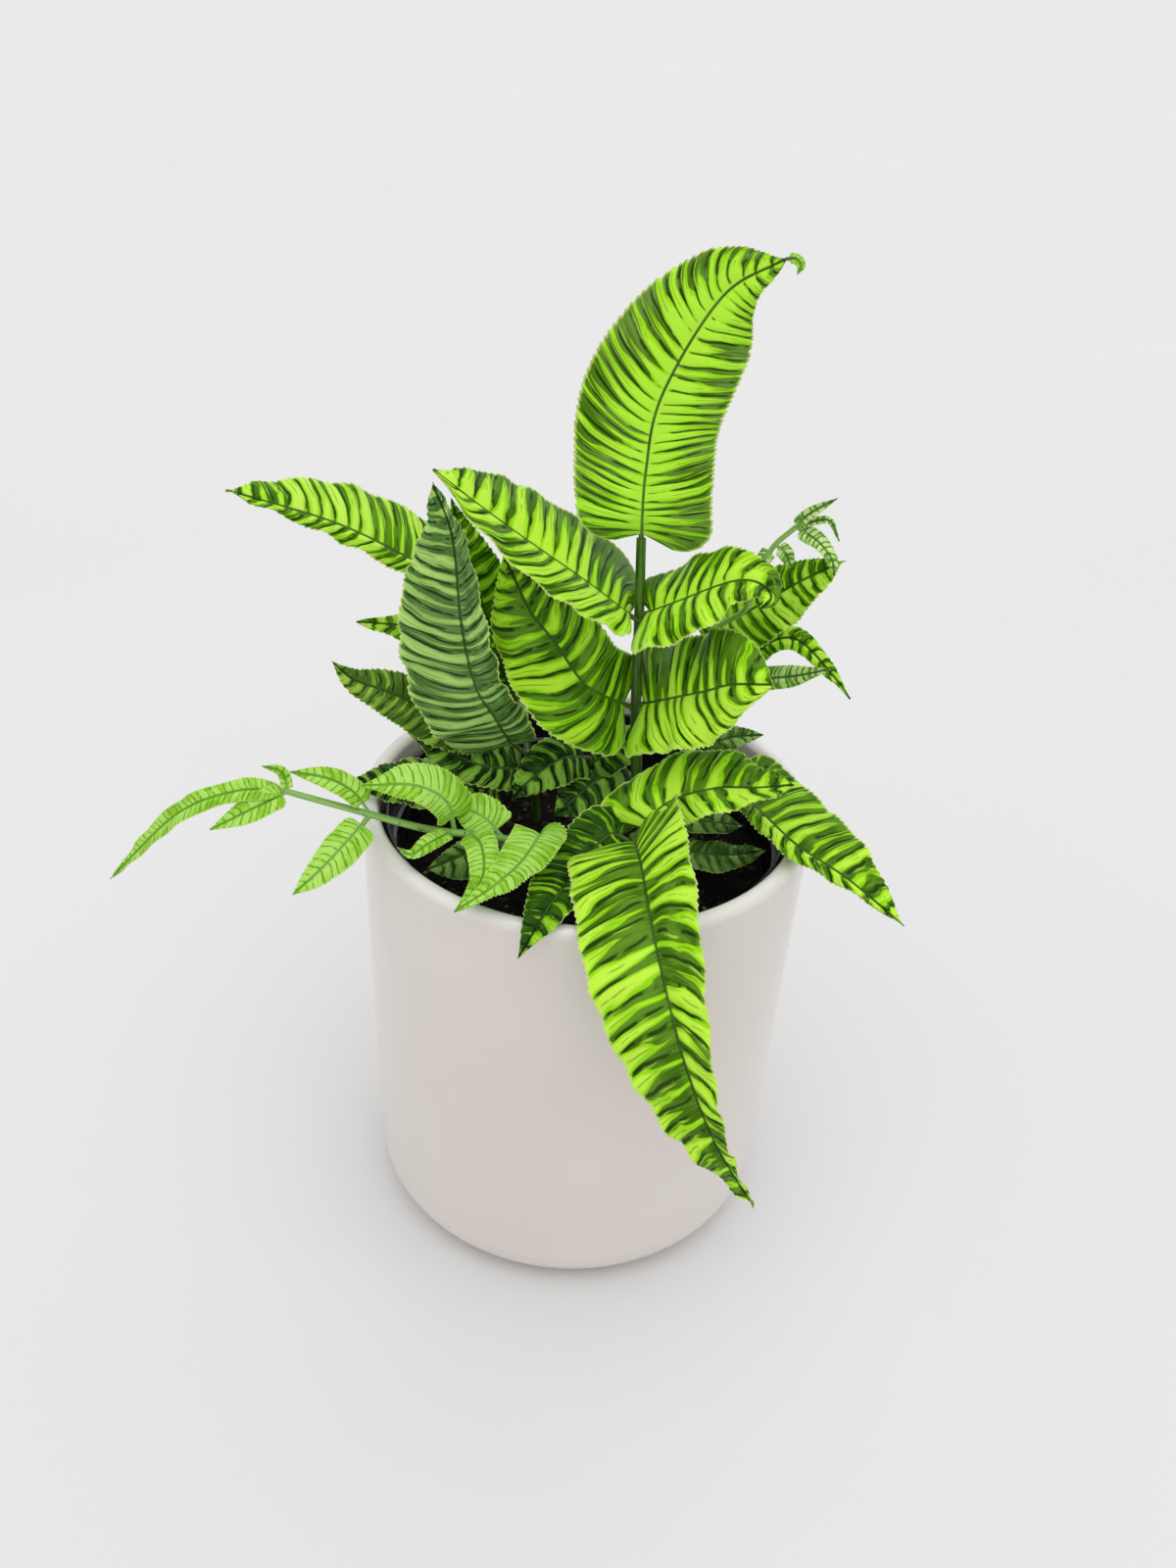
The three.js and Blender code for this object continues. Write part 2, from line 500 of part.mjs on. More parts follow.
function growPot() {
  const floor = PLANTER_FLOOR + GAP;
  const top = floor + GROW_POT_HEIGHT;
  const ledge = top - GROW_POT_RIM_DROP;
  const inner = (radius) => radius - GROW_POT_WALL;
  let body = solid(turned([
    [0, floor],
    [GROW_POT_BASE_RADIUS, floor],
    [GROW_POT_TOP_RADIUS, ledge],
    [GROW_POT_RIM_RADIUS, ledge],
    [GROW_POT_RIM_RADIUS, top],
    [inner(GROW_POT_RIM_RADIUS), top],
    [inner(GROW_POT_TOP_RADIUS), ledge - GROW_POT_WALL],
    [inner(GROW_POT_BASE_RADIUS), floor + GROW_POT_WALL],
    [0, floor + GROW_POT_WALL]
  ], GROW_POT_SIDES));
  for (let i = 0; i < DRAIN_HOLES; i++) {
    const angle = 2 * Math.PI * i / DRAIN_HOLES;
    const drill = new THREE.CylinderGeometry(DRAIN_HOLE_RADIUS, DRAIN_HOLE_RADIUS, 4 * GROW_POT_WALL, 12);
    drill.rotateX(Math.PI / 2);
    drill.translate(DRAIN_CIRCLE_RADIUS * Math.cos(angle), DRAIN_CIRCLE_RADIUS * Math.sin(angle), floor);
    body = body.subtract(solid(drill));
  }
  return body;
}

function soilBump(x, y) {
  return SOIL_BUMP * (Math.sin(x / 5.3 + 1) * Math.cos(y / 6.1) + 0.6 * Math.sin(x / 2.9 + y / 3.7));
}

function soil(fronds) {
  const floor = PLANTER_FLOOR + 2 * GAP + GROW_POT_WALL;
  const spread = GROW_POT_TOP_RADIUS - GROW_POT_BASE_RADIUS;
  const rise = spread / (GROW_POT_HEIGHT - GROW_POT_RIM_DROP);
  const wall = (z) => GROW_POT_BASE_RADIUS - GROW_POT_WALL - 2 * GAP + rise * (z - floor);
  const rings = 5;
  const topRadius = wall(SOIL_TOP);
  const surface = Array.from({ length: rings }, (unused, i) => [topRadius * (1 - i / rings), SOIL_TOP]);
  const geometry = turned([[0, floor], [wall(floor), floor], ...surface, [0, SOIL_TOP]], SOIL_SIDES);
  const position = geometry.attributes.position;
  for (let i = 0; i < position.count; i++) {
    const [x, y, z] = [position.getX(i), position.getY(i), position.getZ(i)];
    if (z > SOIL_TOP - 1 && Math.hypot(x, y) < topRadius - 1) {
      position.setZ(i, z + soilBump(x, y));
    }
  }
  let body = solid(geometry);
  for (const frond of fronds) {
    const [startRadius, endRadius] = frond.radius;
    const path = stipeRoute(frond, ROOT_DEPTH + GAP);
    body = body.subtract(stalk(path, startRadius + GAP, endRadius + 2 * GAP, STIPE_SIDES));
  }
  return body;
}

const plant = new THREE.Group();
plant.add(named('planter', planter(), '#d2cbc5', 0.18));
plant.add(named('nursery_pot', growPot(), '#17191b', 0.35));
plant.add(named('soil', soil(FRONDS), '#241a12', 0.95));
for (const frond of FRONDS) {
  plant.add(named(frond.name, frondSolid(frond), frond.colour, 0.5));
}

export default plant;
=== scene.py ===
"""Looks of the potted bamboo fern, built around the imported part. The tables are in millimetres."""
import math

import bmesh
import bpy
import numpy as np
from mathutils import Matrix, Vector


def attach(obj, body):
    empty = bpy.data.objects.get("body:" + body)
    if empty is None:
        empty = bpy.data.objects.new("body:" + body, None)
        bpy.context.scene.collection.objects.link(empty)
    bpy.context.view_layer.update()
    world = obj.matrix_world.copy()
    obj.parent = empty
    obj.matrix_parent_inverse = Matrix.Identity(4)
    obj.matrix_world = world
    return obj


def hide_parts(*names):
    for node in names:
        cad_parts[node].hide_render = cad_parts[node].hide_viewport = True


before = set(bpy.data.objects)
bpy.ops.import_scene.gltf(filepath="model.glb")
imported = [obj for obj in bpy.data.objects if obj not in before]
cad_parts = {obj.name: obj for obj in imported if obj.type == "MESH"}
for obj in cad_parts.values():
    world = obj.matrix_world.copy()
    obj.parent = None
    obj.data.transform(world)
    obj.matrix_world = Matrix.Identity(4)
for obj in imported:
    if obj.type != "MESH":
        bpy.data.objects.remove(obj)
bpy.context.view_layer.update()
MM = 0.001

# Planter, grow pot and soil
PLANTER_RADIUS = 70
PLANTER_BASE_RADIUS = 65.5
PLANTER_HEIGHT = 152
PLANTER_WALL = 5.5
PLANTER_FLOOR = 7
FOOT_ROUND = 16
GAP = 0.3
GROW_POT_HEIGHT = 139
GROW_POT_RIM_RADIUS = 62.6
GROW_POT_TOP_RADIUS = 60.5
GROW_POT_BASE_RADIUS = 47
GROW_POT_WALL = 1.2
GROW_POT_RIM_DROP = 9
DRAIN_HOLES = 6
DRAIN_HOLE_RADIUS = 4
DRAIN_CIRCLE_RADIUS = 32
SOIL_TOP = 127
SOIL_BUMP = 1.1
SOIL_EDGE = 57.9
CRUMBS = 520
CRUMB_REACH = 0.95
CRUMB_SIZES = (0.5, 1.9)
BARK_SHARE = 0.85
TURNED_SIDES = 192
WALL_STEPS = 24
PLANTER_WOBBLE = 0.12
DRAIN_HOLE_SIDES = 24

# Studio: places in metres, angles in degrees, lens and sensor in millimetres
FLOOR_HALF = 9
WORLD_STRENGTH = 0.72
SUN_SPREAD = 60
CAMERA_PLACE = (0, -0.4098, 0.4187)
CAMERA_PITCH = 32.68
CAMERA_ROLL = 3.46
CAMERA_LENS = 36
CAMERA_SENSOR = 36

# Leaf build
LEAF_THICKNESS = 0.5
EDGE_THICKNESS = 0.25
TIP_HALF_WIDTH = 0.5
TOOTH_DEPTH = 0.9
WAVE_SPACING = 15
WAVE_HEIGHT = 0.9
BASE_END = 0.11
TAPER_START = 0.3
WAIST_END = 0.5
VEIN_LEAN = 0.45
TOOTH_SPACING = 1.8
ROWS_PER_TOOTH = 4
ROOT_DEPTH = 12
STALK_RADIUS = 0.8
THIN_STALK_RADIUS = 0.5
STALK_SINK = 0.75
TUBE_STEP = 2.2
ROWS_NEAR_BASE = 1.35
RUFFLE_SPACING = 9.4
SMALL_HALF = 5
BROAD_HALF = 8
FULL_TOOTH_HALF = 9
NUMBERS_PER_LEAF = 41
# Where the columns of points lie between the midrib, at 0, and the margin, at 1
BROAD_COLUMNS = [0.04, 0.12, 0.22, 0.34, 0.46, 0.58, 0.7, 0.8, 0.88, 0.94, 1]
NARROW_COLUMNS = [0.08, 0.25, 0.45, 0.65, 0.82, 0.93, 1]

# One entry is one frond. The rachis is the stalk from the soil up, and each pinna is a leaflet.
# midrib: the points that the leaflet's midrib runs through, from where it leaves the rachis.
# face: where the upper side looks, at the root and at the tip. half: the width left and right
# of the midrib. stalk: bare length before the blade. fold and curl: how far the two halves
# rise towards each other, in degrees, and droop again. lobe: how far the base reaches back, left
# and right. taper: how full each half stays towards the tip. waist: how much narrower each half
# starts. wave: how strong the edge waves. lean: how far the side veins of each half lean to the
# tip. glow: how much brighter each half is. flare: how much brighter it gets towards its margin.
# pitch: the distance of the side veins, where it isn't the look's own.
# On three leaflets, noted at each, the glow is also painted light and shade.
FRONDS = {
    "frond_centre": dict(radius=(2, 1.4), rachis=[(15, 6, 127), (15, 2, 155), (13, 0, 184),
        (12, 3, 212), (11, 7, 236)], pinnae=[
        dict(look="lime", midrib=[(11, 7, 234), (11, 12, 254), (14, 16, 275), (28, 16, 303),
                 (43, 8, 316)],
             face=[(0, -1, 0.3), (-0.1, -0.8, 0.6)], half=(23, 19), stalk=3, fold=8, curl=-0.06,
             lobe=(9, 11), taper=(2.4, 3.4), waist=(0.25, -0.15), wave=0.6, flare=(-0.4, -0.4)),
        dict(look="sunny", midrib=[(12, 2, 212), (-3, -6, 227), (-24, -16, 246), (-45, -26, 266)],
             face=[(0.1, -0.3, 1), (0.1, -0.3, 1)], half=(21, 24), stalk=5, fold=10, curl=-0.1,
             lobe=(-2, 17), taper=(3.2, 2.3), waist=(0.3, -0.15), wave=0.6, lean=(0.9, -0.15),
             glow=(0.14, -0.06), flare=(0, -0.8)),
        dict(look="sunny", midrib=[(12, 2, 214), (23, -7, 224), (32.5, -15, 233), (39, -20, 237.5),
                 (44, -24, 238), (46, -27.5, 236), (43.5, -29, 233.5)],
             face=[(-0.2, -0.4, 1), (0, -0.6, 0.6)], half=(15, 18), stalk=4, fold=8, curl=-0.1,
             lobe=(20, 4), taper=(1.8, 1.6), wave=0.8, glow=(-0.06, 0.14), flare=(-0.7, 0)),
        dict(look="zebra", midrib=[(12, 0, 184), (-2, -8, 195), (-12, -8.5, 209), (-20, -4, 217),
                 (-28, 3, 230)],
             face=[(-0.2, -0.8, 0.6), (-0.3, -0.8, 0.5)], half=(19, 15), stalk=4, fold=6, curl=-0.1,
             lobe=(12, 6), taper=(2.4, 2.4), waist=(0.15, 0), wave=1, glow=(0.04, -0.1),
             flare=(0.4, -0.2)),
        # painted light: this leaflet's face turns from the lamp, so its glow is raised overall; it
        # differs between the halves as its own bars do
        dict(look="sunny", midrib=[(13, 0, 185), (23, -12, 195), (31.5, -23, 204), (38, -31, 211),
                 (48, -39, 216)],
             face=[(0.1, -0.7, 0.7), (0.2, -0.7, 0.6)], half=(19, 17.5), stalk=4, fold=6, curl=-0.1,
             lobe=(16, 14), taper=(4, 4), wave=1, lean=(0.1, 0.8), glow=(-0.2, 0.34),
             flare=(-0.3, 0.4)),
        dict(look="young", midrib=[(43, 8, 316), (45.5, 7, 316.5), (47, 6.5, 315),
                 (46.3, 6, 312.8)],
             face=[(0, -0.9, 0.5), (0.3, -0.9, 0.2)], half=(1.4, 1.4), stalk=1, fold=0, curl=0,
             lobe=(0, 0), taper=(2.4, 2.4), wave=0),
    ]),
    "frond_left": dict(radius=(1.5, 0.9), rachis=[(-16, 20, 127), (-20, 20, 155), (-28, 18, 185),
        (-38, 15, 210)], pinnae=[
        # painted shade: the right half, folded away from the lamp, has a lower glow
        dict(look="blue", midrib=[(-21, 20, 159), (-20, 9, 160), (-24, 1, 168), (-29, -3, 179),
                 (-35, -6, 192), (-39, -8, 213), (-42, -5, 238), (-48, 0, 252)],
             face=[(-0.3, -0.8, 0.4), (-0.5, -0.85, 0.35)], half=(22, 12.5), stalk=24, fold=20,
             curl=-0.15, lobe=(1, 3), taper=(2.4, 2), waist=(0.2, 0), wave=1, glow=(0.06, -0.22)),
        dict(look="light", midrib=[(-38, 15, 210), (-46, 13, 217), (-58, 12, 224), (-78, 8, 235),
                 (-106, 0, 246)],
             face=[(0.1, -0.4, 0.9), (0, -0.5, 0.9)], half=(6, 20), stalk=4, fold=0, curl=-0.2,
             lobe=(4, 4), taper=(2.4, 2.4), wave=0.9),
        # painted shade: this leaflet sits behind the blue one in a dark gap, so its glow is low
        dict(look="light", midrib=[(-24.6, 18.9, 172), (-28, 18, 185), (-31, 16, 196),
                 (-36, 14, 212), (-41, 12, 230), (-44, 11, 243)],
             face=[(0.3, -0.9, 0.4), (0.2, -0.9, 0.3)], half=(10, 13), stalk=1, fold=0, curl=-0.1,
             lobe=(3, 3), taper=(2, 2), wave=0.6, glow=(-0.25, -0.25)),
        dict(look="olive", midrib=[(-21, 20, 158), (-32, 12, 166), (-45, 6, 172), (-55, 4, 179),
                 (-64, 2, 184), (-72, 0, 188), (-78, -2, 195)],
             face=[(-0.1, -0.8, 0.6), (-0.3, -0.8, 0.5)], half=(9.5, 9), stalk=16, fold=10,
             curl=-0.2, lobe=(3, 3), taper=(2.2, 2.2), wave=0.8),
        dict(look="light", midrib=[(-30, 17, 191), (-45, 17, 198), (-60, 16, 199), (-73, 14, 200)],
             face=[(0, -0.5, 1), (0, -0.5, 1)], half=(8, 6), stalk=6, fold=0, curl=-0.1,
             lobe=(3, 3), taper=(2, 2), wave=0.6),
    ]),
    "frond_low": dict(radius=(1.4, 0.9), rachis=[(-4, 16, 127), (-4, 14, 145), (0, 12, 158)],
        pinnae=[
        dict(look="low", midrib=[(-2, 13, 152), (-14, 10, 154), (-25, 6, 156), (-37, 4, 159),
                 (-57, 6, 168)],
             face=[(0, -0.5, 1), (0, -0.5, 1)], half=(8, 10), stalk=20, fold=0, curl=-0.15,
             lobe=(4, 4), taper=(2.2, 2.2), wave=0.8),
        dict(look="low", midrib=[(0, 12, 158), (-8, 8, 160), (-17, 2, 156), (-23, -5, 152)],
             face=[(0.2, -0.5, 1), (0.1, -0.5, 1)], half=(9, 9), stalk=2, fold=6, curl=-0.15,
             lobe=(4, 4), taper=(2.2, 2.2), wave=0.8),
        dict(look="low", midrib=[(-4, 14, 146), (-20, 8, 147), (-40, 2, 151), (-52, -3, 154),
                 (-64, -9, 157), (-74, -13, 158)],
             face=[(0, -0.6, 1), (0, -0.6, 1)], half=(9, 11), stalk=26, fold=0, curl=-0.15,
             lobe=(4, 4), taper=(2.4, 2.4), wave=0.8),
        dict(look="low", midrib=[(-1, 13, 154), (8, 12, 162), (20, 15, 168)],
             face=[(0, -0.5, 1), (0, -0.5, 1)], half=(8, 8), stalk=3, fold=0, curl=-0.15,
             lobe=(4, 4), taper=(2.2, 2.2), wave=0.8),
        dict(look="low", midrib=[(-3, 14, 148), (4, 8, 154), (-1, 1, 153), (-10, -6, 147)],
             face=[(0, -0.5, 1), (0, -0.5, 1)], half=(10, 9), stalk=6, fold=0, curl=-0.15,
             lobe=(4, 4), taper=(2.4, 2.4), wave=0.8),
        dict(look="low", midrib=[(-4, 15, 139), (2, 8, 145), (4, -1, 145), (0, -8, 141)],
             face=[(0, -0.5, 1), (0, -0.5, 1)], half=(9, 9), stalk=6, fold=0, curl=-0.15,
             lobe=(4, 4), taper=(2.4, 2.4), wave=0.6),
    ]),
    "frond_young_left": dict(radius=(1.5, 0.9), rachis=[(4, -10, 127), (-6, -20, 141),
        (-15, -27, 150), (-28, -32, 156), (-45, -36, 160), (-62, -36, 164), (-87, -34, 169)],
        pinnae=[
        dict(look="young", midrib=[(-87, -34, 169), (-101, -34, 168), (-120, -32, 157),
                 (-145, -24, 126)],
             face=[(0, -0.6, 1), (-0.4, -0.6, 0.6)], half=(4.2, 3.6), stalk=1, fold=14, curl=-0.1,
             lobe=(1, 1), taper=(2.4, 2.4), wave=0.4),
        dict(look="young", midrib=[(-86, -34, 169), (-94, -38, 166), (-108, -40, 158)],
             face=[(0, -0.6, 1), (-0.4, -0.6, 0.6)], half=(5, 4.5), stalk=2, fold=14, curl=-0.1,
             lobe=(1, 1), taper=(1.8, 1.8), wave=0.2),
        dict(look="young", midrib=[(-86, -34, 169), (-88, -32, 174), (-93, -34, 177)],
             face=[(0.4, -0.6, 0.6), (0, -0.6, 1)], half=(2, 2), stalk=1, fold=14, curl=-0.1,
             lobe=(1, 1), taper=(1.8, 1.8), wave=0),
        dict(look="young", midrib=[(-62, -36, 164), (-67, -34, 170), (-75, -32, 173),
                 (-86, -30, 173)],
             face=[(0.3, -0.6, 0.7), (-0.2, -0.6, 0.6)], half=(4, 4), stalk=4, fold=14, curl=-0.1,
             lobe=(1, 1), taper=(2, 2), wave=0.3),
        dict(look="young", midrib=[(-62, -36, 164), (-69, -44, 158), (-75, -50, 153),
                 (-82, -54, 147)],
             face=[(0, -0.6, 1), (-0.4, -0.8, 0.6)], half=(7, 5.5), stalk=4, fold=14, curl=-0.1,
             lobe=(1, 1), taper=(2, 2), wave=0.3),
        dict(look="young", midrib=[(-38, -34, 159), (-40, -36, 170), (-49, -39, 177),
                 (-64, -38, 175)],
             face=[(0.3, -0.6, 0.6), (0, -0.6, 1)], half=(6, 8), stalk=5, fold=6, curl=-0.1,
             lobe=(3, 3), taper=(2.2, 2.2), wave=0.4),
        dict(look="young", midrib=[(-24, -31, 155), (-30, -28, 160), (-40, -26, 163)],
             face=[(0, -0.6, 1), (-0.2, -0.6, 0.8)], half=(7, 7), stalk=3, fold=10, curl=-0.1,
             lobe=(1, 1), taper=(2.4, 2.4), wave=0.4),
        dict(look="young", midrib=[(-38, -34, 159), (-44, -44, 161), (-49, -46, 158),
                 (-53, -46, 160)],
             face=[(0, -0.6, 1), (-0.2, -0.6, 0.8)], half=(3, 3), stalk=4, fold=10, curl=-0.1,
             lobe=(1, 1), taper=(2, 2), wave=0.2),
        dict(look="young", midrib=[(-34, -33, 158), (-29, -46, 162), (-28, -58, 159),
                 (-34, -68, 156)],
             face=[(0, -0.6, 1), (-0.2, -0.6, 0.8)], half=(5, 5), stalk=4, fold=14, curl=-0.1,
             lobe=(1, 1), taper=(2, 2), wave=0.3),
        dict(look="young", midrib=[(-14, -26, 150), (-13, -35, 160), (-17, -51, 162),
                 (-24, -64, 162), (-34, -73, 159)],
             face=[(0, -0.6, 1), (-0.2, -0.6, 0.8)], half=(8, 8), stalk=5, fold=10, curl=-0.1,
             lobe=(3, 3), taper=(1.6, 1.6), wave=0.6),
    ]),
    "frond_front": dict(radius=(1.5, 1), rachis=[(16, -10, 127), (15, -18, 142), (14, -33, 160)],
        pinnae=[
        dict(look="sunny", midrib=[(14, -33, 160), (16, -50, 163), (18, -66, 162), (21, -82, 157),
                 (26, -93, 144), (31, -98, 130), (40, -101, 108), (54, -99, 81)],
             face=[(-0.38, -0.4, 1), (-0.7, -1, 0.3)], half=(16.5, 21.5), stalk=4, fold=16,
             curl=-0.1, lobe=(40, 12), taper=(1, 1.9), wave=1, pitch=5.6, glow=(-0.02, -0.12),
             flare=(0.3, 0.8)),
        dict(look="sunny", midrib=[(14, -31, 158), (23, -27, 168), (36, -29, 175.5), (48, -31, 178),
                 (59, -31, 179.5)],
             face=[(-0.3, -0.3, 1), (0, -0.3, 1)], half=(17, 12), stalk=4, fold=6, curl=-0.1,
             lobe=(17, -6), taper=(2.2, 2.2), waist=(0, 0.6), wave=1, glow=(-0.08, 0.14),
             flare=(-0.2, 0.2)),
        dict(look="deep", midrib=[(14, -32, 157), (7, -30, 158), (-1, -38, 151), (-8, -62, 156),
                 (-16, -80, 150)],
             face=[(0, -0.3, 1), (-0.2, -0.8, 0.6)], half=(10, 11), stalk=4, fold=6, curl=-0.1,
             lobe=(7, 7), taper=(2, 2), wave=0.6),
    ]),
    "frond_right": dict(radius=(1.4, 0.9), rachis=[(34, 6, 127), (38, 3, 145), (44, -2, 161)],
        pinnae=[
        dict(look="sunny", midrib=[(44, -2, 161), (50, -11, 160), (62, -29, 158), (76, -42, 156),
                 (93, -50, 146)],
             face=[(0.1, -0.5, 1), (0.2, -0.6, 1)], half=(18, 6), stalk=3, fold=4, curl=-0.1,
             lobe=(18, 4), taper=(1.9, 1.9), wave=0.8),
        dict(look="dull", midrib=[(35, 5, 131), (30, -4, 136), (36, -8, 138), (46, -8, 138),
                 (57, -6, 139)],
             face=[(0, -0.3, 1), (0.2, -0.3, 1)], half=(6, 7), stalk=13, fold=0, curl=-0.12,
             lobe=(3, 3), taper=(2.2, 2.2), wave=0.5),
        dict(look="dull", midrib=[(37, 4, 140), (31, 3, 143), (37, 1, 144), (44, 2, 143),
                 (50, 4, 141)],
             face=[(0, -0.3, 1), (0.2, -0.3, 1)], half=(6, 5), stalk=8, fold=0, curl=-0.12,
             lobe=(3, 3), taper=(2.2, 2.2), wave=0.5),
    ]),
    "frond_back_right": dict(radius=(1.4, 0.9), rachis=[(24, 24, 127), (26, 22, 160),
        (30, 19, 198)], pinnae=[
        dict(look="light", midrib=[(30, 19, 198), (44, 14, 211), (58, 8, 225), (69, 2, 235)],
             face=[(-0.2, -0.8, 0.6), (-0.2, -0.7, 0.7)], half=(9, 12), stalk=3, fold=6, curl=-0.12,
             lobe=(3, 3), taper=(2.6, 2.6), wave=0.9, glow=(0.06, 0.06)),
    ]),
    "frond_twisted": dict(radius=(1.3, 0.8), rachis=[(34, 24, 127), (38, 23, 160), (47, 21, 187)],
        pinnae=[
        dict(look="light", midrib=[(47, 21, 187), (52, 21, 197), (61, 18, 201), (72, 12, 193),
                 (78, 8, 187)],
             face=[(0, -0.8, 0.6), (0.2, -0.7, 0.7)], half=(4, 4), stalk=5, fold=6, curl=-0.12,
             lobe=(1, 1), taper=(2, 2), wave=0.4),
        dict(look="pale", midrib=[(46, 21, 184), (52, 14, 189), (61, 8, 194), (70, 4, 199)],
             face=[(0, -0.8, 0.6), (0.2, -0.7, 0.7)], half=(4, 4), stalk=6, fold=6, curl=-0.12,
             lobe=(1, 1), taper=(2, 2), wave=0.4),
        dict(look="dull", midrib=[(35.5, 24, 140), (35, 27, 152), (44, 29, 158), (56, 31, 159)],
             face=[(0, -0.6, 0.8), (0.2, -0.5, 0.8)], half=(6, 6), stalk=8, fold=6, curl=-0.12,
             lobe=(3, 3), taper=(2.2, 2.2), wave=0.4),
    ]),
    "frond_unfolding": dict(radius=(1.1, 0.8), rachis=[(28, 10, 127), (30, 12, 170), (34, 11, 203),
        (43, 6, 216), (45, 7, 225), (49, 10, 234), (55, 10, 241)], pinnae=[
        dict(look="pale", midrib=[(55, 10, 241), (58, 8, 246), (65, 6, 252)],
             face=[(0, -0.8, 0.6), (0.2, -0.7, 0.7)], half=(2, 2), stalk=1, fold=10, curl=0,
             lobe=(1, 1), taper=(1.6, 1.6), wave=0),
        dict(look="pale", midrib=[(55, 10, 241), (61, 6, 239), (65, 1, 236), (66, -2, 232)],
             face=[(0.5, -0.8, 0.6), (0.4, -0.8, 0.4)], half=(3, 3), stalk=2, fold=0, curl=0,
             lobe=(1, 1), taper=(2.6, 2.6), wave=0.4),
        dict(look="pale", midrib=[(55, 10, 241), (60, 8, 244), (64, 6, 245), (67, 4, 240)],
             face=[(0, -0.8, 0.6), (0.4, -0.7, 0.4)], half=(1.2, 1.2), stalk=1, fold=0, curl=0,
             lobe=(0, 0), taper=(2, 2), wave=0),
        dict(look="pale", midrib=[(49, 10, 234), (47, 9, 231), (46, 8, 227)],
             face=[(0, -0.8, 0.6), (-0.2, -0.7, 0.5)], half=(2.5, 2.5), stalk=1, fold=0, curl=0,
             lobe=(0, 0), taper=(2.4, 2.4), wave=0.2),
        dict(look="pale", midrib=[(50, 10, 235), (53, 9, 233), (55, 8, 229)],
             face=[(0, -0.8, 0.6), (0.2, -0.7, 0.5)], half=(2.5, 2.5), stalk=1, fold=0, curl=0,
             lobe=(0, 0), taper=(2.4, 2.4), wave=0.2),
    ]),
    "frond_grey": dict(radius=(1.2, 0.8), rachis=[(-12, -14, 127), (-16, -15, 136),
        (-24, -17, 143)], pinnae=[
        dict(look="dull", midrib=[(-24, -17, 143), (-32, -20, 143), (-40, -24, 141),
                 (-47, -27, 139)],
             face=[(0, -0.6, 0.8), (0, -0.6, 0.8)], half=(9, 5), stalk=2, fold=0, curl=-0.12,
             lobe=(3, 3), taper=(2.4, 2.4), wave=0.4),
    ]),
}

# How each kind of leaflet is coloured, in the photograph's RGB. middle: how much more of the
# bright colour lies along the midrib. band: how strictly the colours follow the side veins.
# limit: how little of the blade is bright. pitch: the distance between side veins in
# millimetres. pucker: how high the blade rises between them.
# The second colour of each look is a painted sheen: the greyer green that the dark parts take in broad
# patches, standing in for reflected light.
LOOKS = {
    "lime": {"dark": (78, 122, 6), "painted_sheen_green": (112, 150, 60), "bright": (158, 228, 18),
             "pale": (190, 250, 66), "vein": (18, 48, 2), "middle": 0.55, "band": 1.7,
             "limit": 0.02, "pitch": 3.2, "pucker": 0.5},
    "zebra": {"dark": (56, 104, 0), "painted_sheen_green": (98, 146, 34), "bright": (144, 212, 8),
              "pale": (190, 240, 56), "vein": (12, 40, 0), "middle": -0.15, "band": 1.8,
              "limit": -0.04, "pitch": 4.8, "pucker": 0.55},
    "sunny": {"dark": (66, 110, 0), "painted_sheen_green": (98, 146, 32), "bright": (154, 224, 14),
              "pale": (200, 250, 72), "vein": (14, 42, 0), "middle": 0.1, "band": 1.8,
              "limit": 0, "pitch": 5.4, "pucker": 0.55},
    "deep": {"dark": (34, 74, 0), "painted_sheen_green": (54, 98, 8), "bright": (118, 180, 8),
             "pale": (160, 214, 44), "vein": (8, 28, 0), "middle": -0.1, "band": 1.7,
             "limit": 0.16, "pitch": 4.4, "pucker": 0.4},
    "light": {"dark": (66, 116, 0), "painted_sheen_green": (98, 148, 16), "bright": (158, 228, 22),
              "pale": (200, 246, 86), "vein": (20, 56, 2), "middle": 0.1, "band": 1.7,
              "limit": 0.02, "pitch": 3.6, "pucker": 0.45},
    "olive": {"dark": (78, 114, 34), "painted_sheen_green": (100, 138, 52), "bright": (140, 188, 54),
              "pale": (176, 216, 88), "vein": (34, 60, 16), "middle": 0, "band": 1.6,
              "limit": 0.14, "pitch": 3.6, "pucker": 0.4},
    # painted reflection: the greyish blue cast over this look's greens stands in for sky reflected on
    # the leaflet
    "blue": {"dark": (76, 114, 46), "painted_sheen_green": (110, 150, 82), "bright": (158, 204, 98),
             "pale": (188, 226, 126), "vein": (14, 34, 12), "middle": 0, "band": 1.7,
             "limit": 0.12, "pitch": 3.9, "pucker": 0.5},
    "low": {"dark": (22, 52, 0), "painted_sheen_green": (52, 90, 20), "bright": (112, 164, 42),
            "pale": (142, 192, 70), "vein": (4, 18, 0), "middle": -0.1, "band": 1.7,
            "limit": 0.06, "pitch": 4.2, "pucker": 0.4},
    "young": {"dark": (130, 186, 36), "painted_sheen_green": (146, 202, 52), "bright": (160, 216, 68),
              "pale": (184, 234, 108), "vein": (98, 150, 34), "middle": 0.3, "band": 0.9,
              "limit": -0.1, "pitch": 2.1, "pucker": 0.22},
    "pale": {"dark": (96, 146, 40), "painted_sheen_green": (130, 176, 76), "bright": (180, 222, 116),
             "pale": (216, 242, 164), "vein": (60, 108, 28), "middle": 0.2, "band": 1.2,
             "limit": -0.02, "pitch": 1.8, "pucker": 0.2},
    "dull": {"dark": (68, 106, 32), "painted_sheen_green": (94, 134, 54), "bright": (126, 168, 74),
             "pale": (154, 194, 100), "vein": (34, 62, 18), "middle": 0, "band": 1.2,
             "limit": 0.1, "pitch": 3.2, "pucker": 0.3},
}
MARGIN_GREEN = (206, 226, 128)
UNDERSIDE_GREEN = (132, 168, 104)
